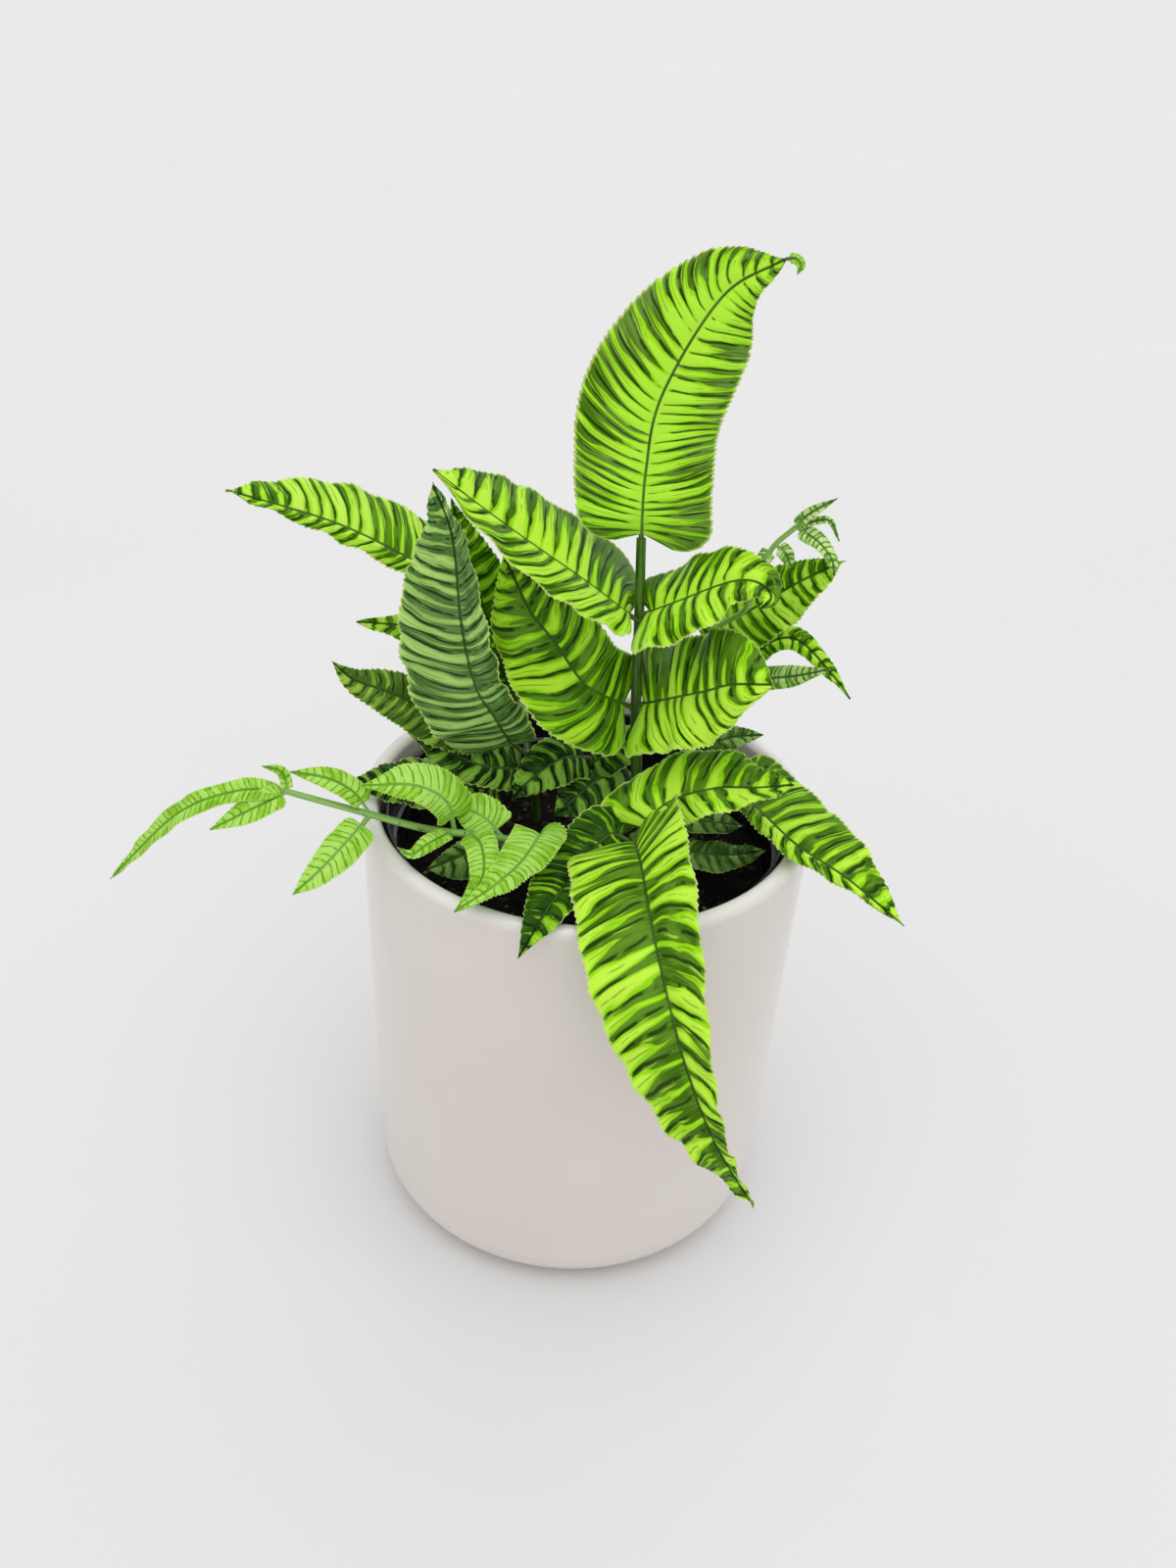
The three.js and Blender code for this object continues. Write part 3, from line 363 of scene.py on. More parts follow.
# What a leaflet has where FRONDS gives it no value of its own.
USUAL = {"waist": (0, 0), "lean": (VEIN_LEAN, VEIN_LEAN), "glow": (0, 0), "flare": (0, 0)}
SLOTS = {
    "frond_left": "leaf_dark",
    "frond_low": "leaf_dark",
    "frond_grey": "leaf_dark",
    "frond_young_left": "leaf_young",
    "frond_unfolding": "leaf_young",
}


def linear(colour):
    """A colour of the photograph, 0 to 255, as a shader's linear RGBA."""
    parts = [c / 255 for c in colour]
    return (*[c / 12.92 if c <= 0.04045 else ((c + 0.055) / 1.055) ** 2.4 for c in parts], 1)


class Graph:
    """A material's node tree, built up in short calls."""

    def __init__(self, name):
        self.material = bpy.data.materials.new(name)
        self.material.use_nodes = True
        self.tree = self.material.node_tree
        self.shader = self.tree.nodes["Principled BSDF"]

    def add(self, kind, values, **settings):
        node = self.tree.nodes.new("ShaderNode" + kind)
        for key, value in settings.items():
            setattr(node, key, value)
        for key, value in values.items():
            self.put(node.inputs[key], value)
        return node

    def put(self, socket, value):
        if isinstance(value, bpy.types.NodeSocket):
            self.tree.links.new(value, socket)
        else:
            socket.default_value = value

    def math(self, operation, a, b=0.0):
        return self.add("Math", {0: a, 1: b}, operation=operation).outputs[0]

    def total(self, values):
        result = values[0]
        for value in values[1:]:
            result = self.math("ADD", result, value)
        return result

    def uv(self, name):
        node = self.add("UVMap", {}, uv_map=name)
        return self.add("SeparateXYZ", {0: node.outputs[0]}).outputs[:2]

    def place(self):
        return self.add("TexCoord", {}).outputs["Object"]

    def noise(self, where, scale, detail=2.0, roughness=0.5):
        values = {"Vector": where, "Scale": scale, "Detail": detail, "Roughness": roughness}
        return self.add("TexNoise", values).outputs[0]

    def streaks(self, number, across, along, out, offset, detail=2.0):
        x = self.math("MULTIPLY", number, along)
        y = self.math("MULTIPLY", across, out)
        where = self.add("CombineXYZ", {0: x, 1: y, 2: offset}).outputs[0]
        return self.noise(where, 1.0, detail)

    def step(self, value, low, high, start=0.0, end=1.0):
        values = {"Value": value, 1: low, 2: high, 3: start, 4: end}
        return self.add("MapRange", values, interpolation_type="SMOOTHSTEP").outputs[0]

    def mix(self, factor, a, b):
        return self.add("Mix", {0: factor, 6: a, 7: b}, data_type="RGBA").outputs[2]

    def bump(self, height, strength, distance):
        values = {"Strength": strength, "Distance": distance, "Height": height}
        self.put(self.shader.inputs["Normal"], self.add("Bump", values).outputs[0])

    def finish(self, colour, roughness, fixed=()):
        self.put(self.shader.inputs["Base Color"], colour)
        self.put(self.shader.inputs["Roughness"], roughness)
        for key, value in fixed:
            self.shader.inputs[key].default_value = value
        return self.material


def leaf_material(name, look, under):
    """Bars of bright and dark green along the side veins, a dark midrib and a pale margin, with a
    painted sheen on the dark parts, painted shade in the vein grooves and a painted highlight beside
    each vein.
    """
    g = Graph(name)
    number, across = g.uv("vein")
    centimetres, along = g.uv("blade")
    glow, flare = g.uv("tone")
    out = g.math("ABSOLUTE", across)
    inner = g.math("POWER", g.math("SUBTRACT", 1.0, out), 2.0)

    # every gap between two side veins has its own bright bar, on each half
    waver = g.math("SUBTRACT", g.streaks(number, across, 0.7, 1.7, 21.0, 1.0), 0.5)
    strip = g.math("ADD", number, g.math("MULTIPLY", waver, 0.6))
    cell = g.add("CombineXYZ", {0: g.math("FLOOR", strip), 1: g.math("SIGN", across)}).outputs[0]
    chance = g.add("TexWhiteNoise", {"Vector": cell}).outputs["Color"]
    share, wedge, _ = g.add("SeparateXYZ", {0: chance}).outputs
    ridge = g.math("PINGPONG", strip, 0.5)
    broad = g.streaks(number, across, 0.6, 0.9, 0.0, 1.0)
    spots = g.streaks(number, across, 2.6, 1.6, 5.1, 2.0)
    fine = g.streaks(number, across, 7.0, 2.0, 9.3, 3.0)
    slope = g.math("ADD", flare, g.math("MULTIPLY", g.math("SUBTRACT", wedge, 0.5), 0.9))
    amount = g.total([
        g.math("MULTIPLY", g.math("SUBTRACT", ridge, 0.25), look["band"]),
        g.math("MULTIPLY", g.math("SUBTRACT", share, 0.5), 0.65),
        g.math("MULTIPLY", g.math("SUBTRACT", out, 0.5), slope),
        g.math("MULTIPLY", g.math("SUBTRACT", broad, 0.5), 0.7),
        g.math("MULTIPLY", g.math("SUBTRACT", spots, 0.5), 0.7),
        g.math("MULTIPLY", inner, look["middle"]),
        glow])
    banded = g.step(amount, look["limit"] - 0.05, look["limit"] + 0.05)

    core = g.math("ADD", g.step(amount, look["limit"], look["limit"] + 0.5), fine)
    # painted sheen: broad patches where the dark green turns greyer, standing in for reflected light
    painted_sheen = g.math("ADD", g.streaks(number, across, 0.25, 1.6, 31.0, 1.0), fine)
    dark = g.mix(g.step(painted_sheen, 0.85, 1.15), linear(look["dark"]), linear(look["painted_sheen_green"]))
    bright = g.mix(g.step(core, 0.6, 1.4), linear(look["bright"]), linear(look["pale"]))
    colour = g.mix(banded, dark, bright)

    # dark side veins that fork towards the margin, each line partly the vein's own darker green and
    # partly painted shade in its groove, with a painted highlight beside it
    fork = g.step(g.math("PINGPONG", g.math("ADD", strip, 0.5), 0.5), 0.016, 0.07, 1.0, 0.0)
    fork = g.math("MULTIPLY", fork, g.step(out, 0.3, 0.5, 0.0, 0.5))
    line = g.math("MAXIMUM", g.step(ridge, 0.03, 0.12, 1.0, 0.0), fork)
    broken = g.step(g.streaks(number, across, 0.9, 2.6, 13.7, 2.0), 0.38, 0.48)
    reach = g.math("MULTIPLY", g.step(out, 0.03, 0.12), g.step(out, 0.85, 0.96, 1.0, 0.0))
    line = g.math("MULTIPLY", line, g.math("MULTIPLY", broken, reach))
    # painted highlight: a thin pale glint along one side of each vein groove
    beside = g.math("PINGPONG", g.math("SUBTRACT", strip, 0.15), 0.5)
    glint = g.math("MULTIPLY", g.step(beside, 0.015, 0.07, 1.0, 0.0), g.step(out, 0.15, 0.4))
    glint = g.math("MULTIPLY", glint, g.step(spots, 0.45, 0.6))
    # painted shade in the vein grooves over the veins' own darker green, then the painted highlight
    # beside them
    colour = g.mix(g.math("MULTIPLY", line, 0.35 if under else 0.85), colour, linear(look["vein"]))
    colour = g.mix(g.math("MULTIPLY", glint, 0.6), colour, linear(look["pale"]))

    millimetres = g.math("MULTIPLY", g.math("ABSOLUTE", centimetres), 10.0)
    rib = g.step(millimetres, 0.22, 0.55, 1.0, 0.0)
    colour = g.mix(g.math("MULTIPLY", rib, 0.3 if under else 0.9), colour, linear(look["vein"]))
    margin = g.step(out, 0.95, 0.98)
    colour = g.mix(g.math("MULTIPLY", margin, 0.75), colour, linear(MARGIN_GREEN))
    base = g.step(along, 0.0, 0.1, 0.35, 0.0)
    colour = g.mix(base, colour, linear(look["dark"]))
    if under:
        colour = g.mix(0.45, colour, linear(UNDERSIDE_GREEN))

    height = g.math("ADD", fine, g.math("MULTIPLY", line, -1.2))
    g.bump(height, 0.35, 0.0004)
    rough = g.step(fine, 0.3, 0.7, 0.36, 0.5)
    if under:
        rough = g.step(fine, 0.3, 0.7, 0.55, 0.68)
    return g.finish(colour, rough, [("Specular IOR Level", 0.1)])


def stem_material(name, dark, bright):
    """Fibrous green stalk: lengthwise streaks and a few brown flecks."""
    g = Graph(name)
    round_way, length = g.uv("vein")
    streak = g.streaks(round_way, length, 9.0, 0.5, 2.0, 3.0)
    fleck = g.noise(g.place(), 420.0, 2.0)
    colour = g.mix(g.step(streak, 0.38, 0.62), linear(dark), linear(bright))
    colour = g.mix(g.step(fleck, 0.66, 0.74, 0.0, 0.7), colour, linear((70, 52, 26)))
    g.bump(streak, 0.5, 0.0003)
    return g.finish(colour, g.step(streak, 0.3, 0.7, 0.4, 0.58))


def glaze_material():
    """Warm white glaze with faint clouds of tone and slow ripples, and painted light on the top of the
    rim.
    """
    g = Graph("white_glaze")
    place = g.place()
    height = g.add("SeparateXYZ", {0: place}).outputs[2]
    cloud = g.noise(place, 14.0, 2.0)
    fine = g.noise(place, 700.0, 2.0)
    colour = g.mix(g.step(cloud, 0.2, 0.8), linear((222, 213, 206)), linear((226, 218, 212)))
    # painted light: the top 4 mm of the rim, which faces the lamp above, is made lighter
    painted_rim_light = g.step(height, (PLANTER_HEIGHT - 4) * MM, PLANTER_HEIGHT * MM)
    colour = g.mix(painted_rim_light, colour, linear((236, 233, 228)))
    colour = g.mix(g.step(fine, 0.72, 0.82, 0.0, 0.1), colour, linear((188, 180, 172)))
    g.bump(g.noise(place, 30.0, 1.0), 0.1, 0.0008)
    rough = g.step(cloud, 0.2, 0.8, 0.24, 0.28)
    return g.finish(colour, rough, [("Coat Weight", 0.6), ("Coat Roughness", 0.06)])


def plastic_material():
    """Moulded black plastic, with fine turning marks and dust."""
    g = Graph("black_plastic")
    place = g.place()
    height = g.add("SeparateXYZ", {0: place}).outputs[2]
    rings = g.math("SINE", g.math("MULTIPLY", height, 5200.0))
    dust = g.noise(place, 160.0, 4.0)
    colour = g.mix(g.step(dust, 0.5, 0.75), linear((18, 20, 22)), linear((46, 44, 40)))
    g.bump(g.math("ADD", rings, g.math("MULTIPLY", dust, 2.0)), 0.15, 0.0002)
    return g.finish(colour, g.step(dust, 0.35, 0.7, 0.24, 0.5))


def soil_material():
    """Dark peat with lighter fibre and mineral specks."""
    g = Graph("peat_soil")
    place = g.place()
    grain = g.noise(place, 520.0, 4.0, 0.65)
    clump = g.noise(place, 120.0, 3.0)
    colour = g.mix(g.step(clump, 0.35, 0.65), linear((5, 5, 3)), linear((16, 13, 8)))
    colour = g.mix(g.step(grain, 0.6, 0.72, 0.0, 0.6), colour, linear((60, 46, 32)))
    g.bump(grain, 0.9, 0.0012)
    return g.finish(colour, g.step(grain, 0.3, 0.7, 0.82, 0.98), [("Specular IOR Level", 0.15)])


def crumb_material(name, colour, light):
    """Bark or mineral crumb with a grainy face."""
    g = Graph(name)
    grain = g.noise(g.place(), 700.0, 3.0)
    mixed = g.mix(g.step(grain, 0.35, 0.65), linear(colour), linear(light))
    g.bump(grain, 0.6, 0.0005)
    return g.finish(mixed, g.step(grain, 0.3, 0.7, 0.75, 0.95))


class Route:
    """A smooth line through points, found by its share of the arc length."""

    def __init__(self, points):
        p = np.array(points, float)
        p = np.vstack([2 * p[0] - p[1], p, 2 * p[-1] - p[-2]])
        t = np.linspace(0, 1, 60, endpoint=False)[:, None]
        parts = []
        for a, b, c, d in zip(p, p[1:], p[2:], p[3:]):
            curved = (2 * a - 5 * b + 4 * c - d) * t ** 2 + (3 * b - a - 3 * c + d) * t ** 3
            parts.append(0.5 * (2 * b + (c - a) * t + curved))
        self.points = np.vstack(parts + [p[-2:-1]])
        steps = np.linalg.norm(np.diff(self.points, axis=0), axis=1)
        self.share = np.concatenate([[0], np.cumsum(steps)])
        self.length = self.share[-1]
        self.share /= self.length

    def at(self, u):
        return np.stack([np.interp(u, self.share, c) for c in self.points.T], -1)

    def tangent(self, u):
        ahead = self.at(np.clip(u + 0.004, 0, 1)) - self.at(np.clip(u - 0.004, 0, 1))
        return unit(ahead)


def unit(v):
    return v / np.maximum(np.linalg.norm(v, axis=-1, keepdims=True), 1e-12)


def smooth(x, low, high):
    t = np.clip((x - low) / (high - low), 0, 1)
    return t * t * (3 - 2 * t)


def fullness(s, taper, waist):
    """Half width of a blade along its length, as a share of its widest place."""
    base = np.where(s < BASE_END, np.sqrt(np.clip(1 - (1 - s / BASE_END) ** 2, 0, 1)), 1)
    far = np.clip((s - TAPER_START) / (1 - TAPER_START), 0, 1)
    return base * (1 - far ** taper) * (1 - waist * np.clip(1 - s / WAIST_END, 0, 1) ** 2)


def facing(pinna, along, place):
    """Where a leaflet's upper side looks at each place on its midrib, square to the midrib."""
    start, end = (np.array(v, float) for v in pinna["face"])
    up = start + (end - start) * place[..., None]
    return unit(up - along * np.sum(up * along, -1, keepdims=True))


class Body:
    """Collects grids of points into one mesh, with a material and three UV maps for each face."""

    def __init__(self, name):
        self.name = name
        self.points, self.faces, self.kinds = [], [], []
        self.maps = {"vein": [], "blade": [], "tone": []}
        self.count = 0

    def grid(self, points, kinds, vein, blade, tone=None):
        """points: rows x columns x 3, each row a closed ring. kinds: a material for each column."""
        rows, columns = points.shape[:2]
        index = self.count + np.arange(rows * columns).reshape(rows, columns)
        self.points.append(points.reshape(-1, 3))
        self.count += rows * columns
        layers = {"vein": vein, "blade": blade, "tone": 0 * vein if tone is None else tone}
        for k in range(columns):
            n = (k + 1) % columns
            quads = np.stack([index[:-1, k], index[:-1, n], index[1:, n], index[1:, k]], -1)
            self.faces.extend(quads.tolist())
            self.kinds.extend([kinds[k]] * (rows - 1))
            for name, layer in layers.items():
                corners = [layer[:-1, k, 0], layer[:-1, k, 1], layer[1:, k, 1], layer[1:, k, 0]]
                self.maps[name].append(np.stack(corners, 1).reshape(-1, 2))
        for ring, turn in ((0, 1), (-1, -1)):
            self.faces.append(index[ring][::-turn].tolist())
            self.kinds.append(kinds[0])
            for name, layer in layers.items():
                self.maps[name].append(np.zeros((columns, 2)) + layer[ring, 0, 0])

    def object(self, materials, sharp=50):
        mesh = bpy.data.meshes.new(self.name)
        mesh.from_pydata((np.vstack(self.points) * MM).tolist(), [], self.faces)
        mesh.polygons.foreach_set("material_index", self.kinds)
        for name, corners in self.maps.items():
            layer = mesh.uv_layers.new(name=name)
            layer.data.foreach_set("uv", np.vstack(corners).astype(np.float32).ravel())
        for material in materials:
            mesh.materials.append(material)
        mesh.update()
        mesh.shade_smooth()
        mesh.set_sharp_from_angle(angle=math.radians(sharp))
        made = bpy.data.objects.new(self.name, mesh)
        bpy.context.scene.collection.objects.link(made)
        return made


def corner_values(*pair):
    """A UV map's two values at both ends of each column's faces, on the upper and lower side."""
    rings = [np.concatenate([values, values[:, ::-1]], axis=1) for values in pair]
    return np.stack([np.stack([ring, np.roll(ring, -1, axis=1)], axis=2) for ring in rings], -1)


def add_blade(body, pinna, route, leaf_index, kinds, rng):
    """A leaflet's blade: rows follow the side veins from the midrib to the saw-toothed margin."""
    look = LOOKS[pinna["look"]]
    pinna = {**USUAL, "pitch": look["pitch"], **pinna}
    length = route.length - pinna["stalk"]
    pitch = pinna["pitch"]
    veins = max(6, round(length / pitch))
    widths = rng.uniform(0.75, 1.3, veins)
    edges = np.concatenate([[0], np.cumsum(widths)]) / widths.sum()
    teeth = max(2, round(pitch / TOOTH_SPACING))
    rows = teeth * ROWS_PER_TOOTH
    steps = np.arange(veins * rows + 1) / rows
    share = np.interp(steps, np.arange(veins + 1), edges)
    # more rows near the base, so that its round lobes stay smooth
    s = share ** ROWS_NEAR_BASE

    broad = max(pinna["half"]) >= BROAD_HALF
    side = BROAD_COLUMNS if broad else NARROW_COLUMNS
    across = np.array(side[::-1] + [0] + [-t for t in side])
    reach = np.abs(across)[None, :]
    sign = np.sign(across)[None, :]
    half, taper, lobe, waist, lean, glow, flare = (
        np.where(across > 0, *pinna[key])[None, :]
        for key in ("half", "taper", "lobe", "waist", "lean", "glow", "flare"))

    mean_half = np.mean(pinna["half"])
    lean = lean * mean_half * fullness(s, max(pinna["taper"]), 0)[:, None] / length
    place = np.clip(s[:, None] + lean * reach ** 1.3, 0, 1)
    u = (pinna["stalk"] + length * place) / route.length
    point = route.at(u)
    along = route.tangent(u)
    up = facing(pinna, along, place)
    left = np.cross(up, along)

    full = fullness(place, taper, waist)
    toothed = min(pinna["half"]) > 2 * TOOTH_DEPTH
    depth = TOOTH_DEPTH * np.clip(mean_half / FULL_TOOTH_HALF, 0.35, 1) if toothed else 0
    part = steps % 1
    tooth = (steps * teeth) % 1
    sizes = rng.uniform(0.55, 1.15, veins * teeth + 1)
    saw = (1 - tooth) * np.repeat(sizes, ROWS_PER_TOOTH)[:len(steps)]
    notch = depth * saw[:, None] * smooth(reach, 0.8, 1) * reach
    width = np.maximum(half * full - notch, TIP_HALF_WIDTH * np.where(place > 0.9, 0.4, 1))
    fold = math.radians(pinna["fold"])
    wave = pinna["wave"] * WAVE_HEIGHT * np.sin(2 * math.pi * route.length * place / WAVE_SPACING)
    turns = 2 * math.pi * length * place / RUFFLE_SPACING
    ruffle = np.where(sign > 0, *(np.sin(turns + phase) for phase in rng.uniform(0, 6.28, 2)))
    wave = wave * sign * reach + 0.25 * pinna["wave"] * ruffle * reach ** 3
    height = rng.uniform(0.55, 1.25, veins + 1)[np.minimum(steps.astype(int), veins)][:, None]
    rise = np.sqrt(np.abs(np.sin(math.pi * part)))[:, None] * height
    shoulder = smooth(reach, 0.04, 0.3) * (1 - smooth(reach, 0.8, 1) * 0.5)
    pucker = look["pucker"] * rise * shoulder * np.minimum(1, full * 1.6)
    groove = -0.45 * np.exp(-((width * reach) / 0.8) ** 2) * np.minimum(1, full * 2)
    lift = width * (reach * math.sin(fold) + pinna["curl"] * reach ** 2) + wave + pucker + groove
    lobe = lobe * full * (1 - place) ** 6 * reach ** 1.5
    middle = point + left * (sign * width * reach * math.cos(fold))[..., None]
    middle = middle + up * lift[..., None] - along * lobe[..., None]

    thick = EDGE_THICKNESS + (LEAF_THICKNESS - EDGE_THICKNESS) * (1 - reach ** 4)
    thick = (thick * np.ones_like(place))[..., None]
    ring = np.concatenate([middle + up * thick / 2, (middle - up * thick / 2)[:, ::-1]], axis=1)

    number = steps[:, None] + NUMBERS_PER_LEAF * leaf_index + 0 * across
    side_way = across[None, :] + 0 * number
    vein = corner_values(number, side_way)
    blade = corner_values(sign * reach * width / 10, place)
    tone = corner_values(glow + 0 * number, flare + 0 * number)
    columns = len(across)
    top, under = kinds
    materials = [top] * columns + [under] * (columns - 1) + [top]
    body.grid(ring, materials, vein, blade, tone)


def add_tube(body, route, radii, sides, kind, end=1.0, sink=None):
    """A round stalk along a route. sink gives how far each place is moved off the route."""
    steps = max(6, round(route.length * end / TUBE_STEP))
    u = np.linspace(0, end, steps + 1)
    point = route.at(u)
    along = route.tangent(u)
    across = unit(np.cross(along, (0.31, 0.2, 0.93)))
    other = np.cross(across, along)
    if sink is not None:
        point = point + sink(u)
    turn = 2 * math.pi * np.arange(sides) / sides
    radius = np.interp(u, np.linspace(0, end, len(radii)), radii)[:, None, None]
    ring = point[:, None] + radius * (np.cos(turn)[None, :, None] * across[:, None]
                                      + np.sin(turn)[None, :, None] * other[:, None])
    turns = np.stack([np.arange(sides), np.arange(sides) + 1], -1)[None] / sides
    lengths = (u * route.length / 10)[:, None, None]
    vein = np.stack([turns + 0 * lengths, lengths + 0 * turns], -1)
    body.grid(ring, [kind] * sides, vein, vein)


def frond_piece(name, frond, leaf_index, materials):
    """One frond: its rachis, each leaflet's stalk and rib, and its blades."""
    rng = np.random.default_rng(leaf_index + 7)
    used = sorted({pinna["look"] for pinna in frond["pinnae"]})
    body = Body(name.replace("frond", "fern"))
    x, y, z = frond["rachis"][0]
    stipe = Route([(x, y, z - ROOT_DEPTH), *frond["rachis"]])
    add_tube(body, stipe, frond["radius"], 12, 2 * len(used))
    for number, pinna in enumerate(frond["pinnae"]):
        route = Route(pinna["midrib"])
        blade_start = (pinna["stalk"] + 3) / route.length

        def sink(u):
            depth = STALK_SINK * smooth(u, 0, blade_start) * (1 - 0.6 * u)
            return -facing(pinna, route.tangent(u), u) * depth[:, None]

        thick = STALK_RADIUS if max(pinna["half"]) > SMALL_HALF else THIN_STALK_RADIUS
        add_tube(body, route, (thick, thick * 0.7, 0.15), 8, 2 * len(used), 0.97, sink)
        kind = 2 * used.index(pinna["look"])
        add_blade(body, pinna, route, leaf_index + number, (kind, kind + 1), rng)
    made = body.object([m for look in used for m in materials[look]] + [materials["stem"]])
    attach(made, "root")
    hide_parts(name)
    return made


def arc(centre_radius, centre_height, radius, start, end, steps):
    turns = [math.radians(start + (end - start) * i / steps) for i in range(steps + 1)]
    return [(centre_radius + radius * math.cos(a), centre_height + radius * math.sin(a)) for a in turns]


def turned(name, profile, sides, material, wobble=0.0):
    """A turned body from a profile of (radius, height) points that starts and ends on the axis."""
    mesh = bpy.data.meshes.new(name)
    bm = bmesh.new()
    rings = []
    for radius, height in profile:
        if radius < 1e-6:
            rings.append([bm.verts.new((0, 0, height * MM))])
            continue
        ring = []
        for k in range(sides):
            a = 2 * math.pi * k / sides
            r = radius + wobble * math.sin(2 * a + 0.7) * math.sin(height / 31)
            ring.append(bm.verts.new((r * math.cos(a) * MM, r * math.sin(a) * MM, height * MM)))
        rings.append(ring)
    for lower, upper in zip(rings, rings[1:]):
        for k in range(sides):
            n = (k + 1) % sides
            corners = [lower[k % len(lower)], lower[n % len(lower)],
                       upper[n % len(upper)], upper[k % len(upper)]]
            face = []
            for corner in corners:
                if corner not in face:
                    face.append(corner)
            if len(face) > 2:
                bm.faces.new(face)
    bm.to_mesh(mesh)
    bm.free()
    mesh.materials.append(material)
    mesh.shade_smooth()
    mesh.set_sharp_from_angle(angle=math.radians(42))
    made = bpy.data.objects.new(name, mesh)
    bpy.context.scene.collection.objects.link(made)
    return made


def stands_for(piece, node):
    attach(piece, "root")
    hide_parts(node)


def planter():
    lip = PLANTER_WALL / 2
    inner_round = FOOT_ROUND - PLANTER_WALL
    inner_base = PLANTER_BASE_RADIUS - PLANTER_WALL
    outer_top = (PLANTER_RADIUS, PLANTER_HEIGHT - lip)
    outer_foot = (PLANTER_BASE_RADIUS, FOOT_ROUND)
    wall = [tuple(np.array(outer_foot) + (np.array(outer_top) - outer_foot) * t / WALL_STEPS)
            for t in range(1, WALL_STEPS)]
    profile = [
        (0, 0),
        *arc(PLANTER_BASE_RADIUS - FOOT_ROUND, FOOT_ROUND, FOOT_ROUND, -90, 0, 20),
        *wall,
        *arc(PLANTER_RADIUS - lip, PLANTER_HEIGHT - lip, lip, 0, 180, 16),
        *arc(inner_base - inner_round, PLANTER_FLOOR + inner_round, inner_round, 0, -90, 8),
        (0, PLANTER_FLOOR),
    ]
    made = turned("glazed_planter", profile, TURNED_SIDES, glaze_material(), PLANTER_WOBBLE)
    stands_for(made, "planter")


def grow_pot():
    floor = PLANTER_FLOOR + GAP
    top = floor + GROW_POT_HEIGHT
    ledge = top - GROW_POT_RIM_DROP
    wall = GROW_POT_WALL
    lip = wall / 2
    profile = [
        (0, floor),
        (GROW_POT_BASE_RADIUS - 1, floor),
        (GROW_POT_BASE_RADIUS, floor + 1),
        (GROW_POT_TOP_RADIUS, ledge),
        (GROW_POT_RIM_RADIUS - 0.4, ledge),
        (GROW_POT_RIM_RADIUS, ledge + 0.4),
        *arc(GROW_POT_RIM_RADIUS - lip, top - lip, lip, 0, 180, 8),
        (GROW_POT_RIM_RADIUS - wall, ledge - wall + 1),
        (GROW_POT_TOP_RADIUS - wall, ledge - wall),
        (GROW_POT_BASE_RADIUS - wall, floor + wall),
        (0, floor + wall),
    ]
    made = turned("black_grow_pot", profile, TURNED_SIDES * 3 // 4, plastic_material())
    cutters = bmesh.new()
    for i in range(DRAIN_HOLES):
        a = 2 * math.pi * i / DRAIN_HOLES
        spot = Vector((math.cos(a), math.sin(a), 0)) * DRAIN_CIRCLE_RADIUS + Vector((0, 0, floor))
        size = DRAIN_HOLE_RADIUS * MM
        bmesh.ops.create_cone(cutters, cap_ends=True, segments=DRAIN_HOLE_SIDES, radius1=size,
                              radius2=size, depth=6 * MM, matrix=Matrix.Translation(spot * MM))
    mesh = bpy.data.meshes.new("drills")
    cutters.to_mesh(mesh)
    cutters.free()
    drills = bpy.data.objects.new("drills", mesh)
    bpy.context.scene.collection.objects.link(drills)
    cut = made.modifiers.new("holes", "BOOLEAN")
    cut.operation = "DIFFERENCE"
    cut.object = drills
    graph = bpy.context.evaluated_depsgraph_get()
    made.data = bpy.data.meshes.new_from_object(made.evaluated_get(graph))
    made.modifiers.clear()
    bpy.data.objects.remove(drills)
    stands_for(made, "nursery_pot")


def soil_height(x, y):
    """The bumps that the packed soil has, with finer clods on them."""
    packed = SOIL_BUMP * (np.sin(x / 5.3 + 1) * np.cos(y / 6.1) + 0.6 * np.sin(x / 2.9 + y / 3.7))
    clods = 0.5 * np.sin(x / 1.3 + 2 * np.sin(y / 2.1)) * np.sin(y / 1.1 + 1.7 * np.sin(x / 1.9))
    return packed + clods


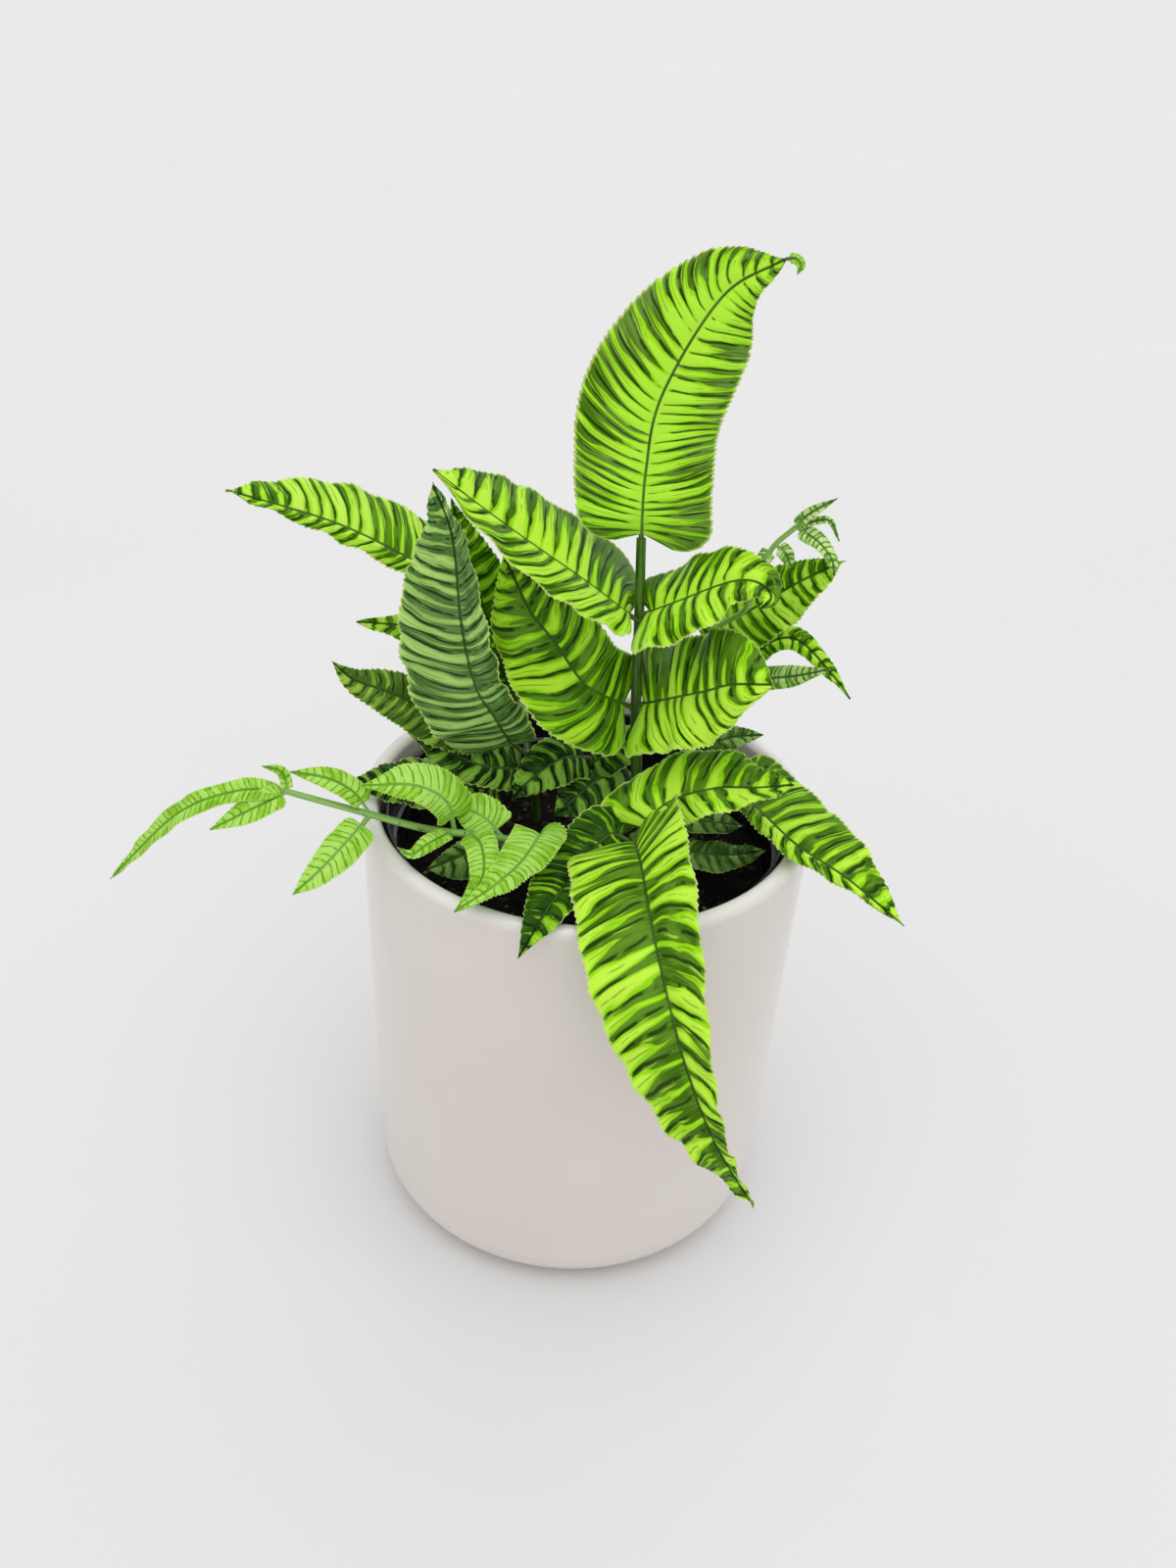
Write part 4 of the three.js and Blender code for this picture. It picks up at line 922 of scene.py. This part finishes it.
def soil():
    """The root ball with a cloddy top, and loose crumbs half sunk into it."""
    rings, sides = 60, 180
    floor = PLANTER_FLOOR + 2 * GAP + GROW_POT_WALL
    base = GROW_POT_BASE_RADIUS - GROW_POT_WALL - 2 * GAP
    a = 2 * np.pi * np.arange(sides) / sides
    profile = [(0.3, floor), (base, floor), (SOIL_EDGE, SOIL_TOP - 1.5)]
    profile += [(SOIL_EDGE * (1 - i / rings), SOIL_TOP) for i in range(rings)] + [(0.3, SOIL_TOP)]
    points = np.array([[(r * math.cos(t), r * math.sin(t), z) for t in a] for r, z in profile])
    top = points[3:]
    x, y = top[..., 0], top[..., 1]
    edge = smooth(np.hypot(x, y), SOIL_EDGE, SOIL_EDGE - 3)
    top[..., 2] += soil_height(x, y) * edge
    body = Body("peat_soil")
    flat = np.zeros(points.shape[:2] + (2, 2))
    body.grid(points, [0] * sides, flat, flat)

    lat = np.radians([-80, -35, 10, 50, 82])
    lon = 2 * np.pi * np.arange(7) / 7
    ball = np.stack([np.cos(lat)[:, None] * np.cos(lon), np.cos(lat)[:, None] * np.sin(lon),
                     np.sin(lat)[:, None] + 0 * lon], -1)
    plain = np.zeros((5, 7, 2, 2))
    rng = np.random.default_rng(11)
    for _ in range(CRUMBS):
        radius = SOIL_EDGE * CRUMB_REACH * math.sqrt(rng.uniform())
        angle = rng.uniform(0, 2 * math.pi)
        spot = np.array([radius * math.cos(angle), radius * math.sin(angle), 0])
        spot[2] = SOIL_TOP + soil_height(spot[0], spot[1])
        size = rng.uniform(*CRUMB_SIZES) * rng.uniform(0.5, 1, 3)
        kind = 1 if rng.uniform() < BARK_SHARE else 2
        if kind == 2:
            size = size * 0.6
        axes = np.linalg.qr(rng.normal(size=(3, 3)))[0]
        crumb = ball * rng.uniform(0.8, 1.15, (5, 7, 1)) * size
        body.grid(crumb @ axes.T + spot, [kind] * 7, plain, plain)
    bark = crumb_material("bark_crumb", (26, 18, 11), (58, 42, 28))
    mineral = crumb_material("mineral_crumb", (96, 82, 60), (150, 134, 104))
    made = body.object([soil_material(), bark, mineral], 70)
    stands_for(made, "soil")


def floor_and_light():
    scene = bpy.context.scene
    mesh = bpy.data.meshes.new("studio_floor")
    corners = [(x * FLOOR_HALF, y * FLOOR_HALF, 0) for x, y in ((-1, -1), (1, -1), (1, 1), (-1, 1))]
    mesh.from_pydata(corners, [], [(0, 1, 2, 3)])
    ground = bpy.data.objects.new("studio_floor", mesh)
    scene.collection.objects.link(ground)
    g = Graph("floor_paint")
    tone = g.step(g.noise(g.place(), 3.0), 0.3, 0.7)
    mesh.materials.append(g.finish(g.mix(tone, linear((229, 229, 229)), linear((231, 231, 231))), 0.9))

    world = bpy.data.worlds.new("studio")
    world.use_nodes = True
    world.node_tree.nodes["Background"].inputs[0].default_value = (1, 1, 1, 1)
    world.node_tree.nodes["Background"].inputs[1].default_value = WORLD_STRENGTH
    scene.world = world
    sun("key", (0.03, -0.42, 1.0), 0.85)
    sun("back", (0.2, 0.8, 0.8), 0.3)


def sun(name, towards, strength):
    """A broad soft light that falls evenly on the floor, so the floor has no bright patch."""
    light = bpy.data.lights.new(name, "SUN")
    light.energy = strength
    light.angle = math.radians(SUN_SPREAD)
    made = bpy.data.objects.new(name, light)
    made.rotation_mode = "QUATERNION"
    made.rotation_quaternion = Vector(towards).to_track_quat("Z", "Y")
    bpy.context.scene.collection.objects.link(made)


def camera():
    """The photograph's view: in front of the planter, above it, rolled a little."""
    pitch = math.radians(CAMERA_PITCH)
    roll = math.radians(CAMERA_ROLL)
    forward = Vector((0, math.cos(pitch), -math.sin(pitch)))
    right = Vector((1, 0, 0))
    up = right.cross(forward)
    view_right = math.cos(roll) * right + math.sin(roll) * up
    view_up = math.cos(roll) * up - math.sin(roll) * right
    data = bpy.data.cameras.new("view")
    data.sensor_width = CAMERA_SENSOR
    data.lens = CAMERA_LENS
    data.clip_start = 0.01
    made = bpy.data.objects.new("view", data)
    basis = Matrix((view_right, view_up, -forward)).transposed().to_4x4()
    made.matrix_world = Matrix.Translation(CAMERA_PLACE) @ basis
    bpy.context.scene.collection.objects.link(made)
    bpy.context.scene.camera = made


camera()
floor_and_light()
bpy.context.scene.view_settings.view_transform = "Standard"
planter()
grow_pot()
soil()
materials = {look: (leaf_material(look + "_leaf", values, False),
                    leaf_material(look + "_leaf_under", values, True))
             for look, values in LOOKS.items()}
green_stem = stem_material("green_stem", (44, 72, 14), (80, 118, 30))
young_stem = stem_material("young_stem", (112, 158, 66), (150, 194, 96))
leaf_index = 0
for name, frond in FRONDS.items():
    materials["stem"] = young_stem if SLOTS.get(name) == "leaf_young" else green_stem
    frond_piece(name, frond, leaf_index, materials)
    leaf_index += len(frond["pinnae"])
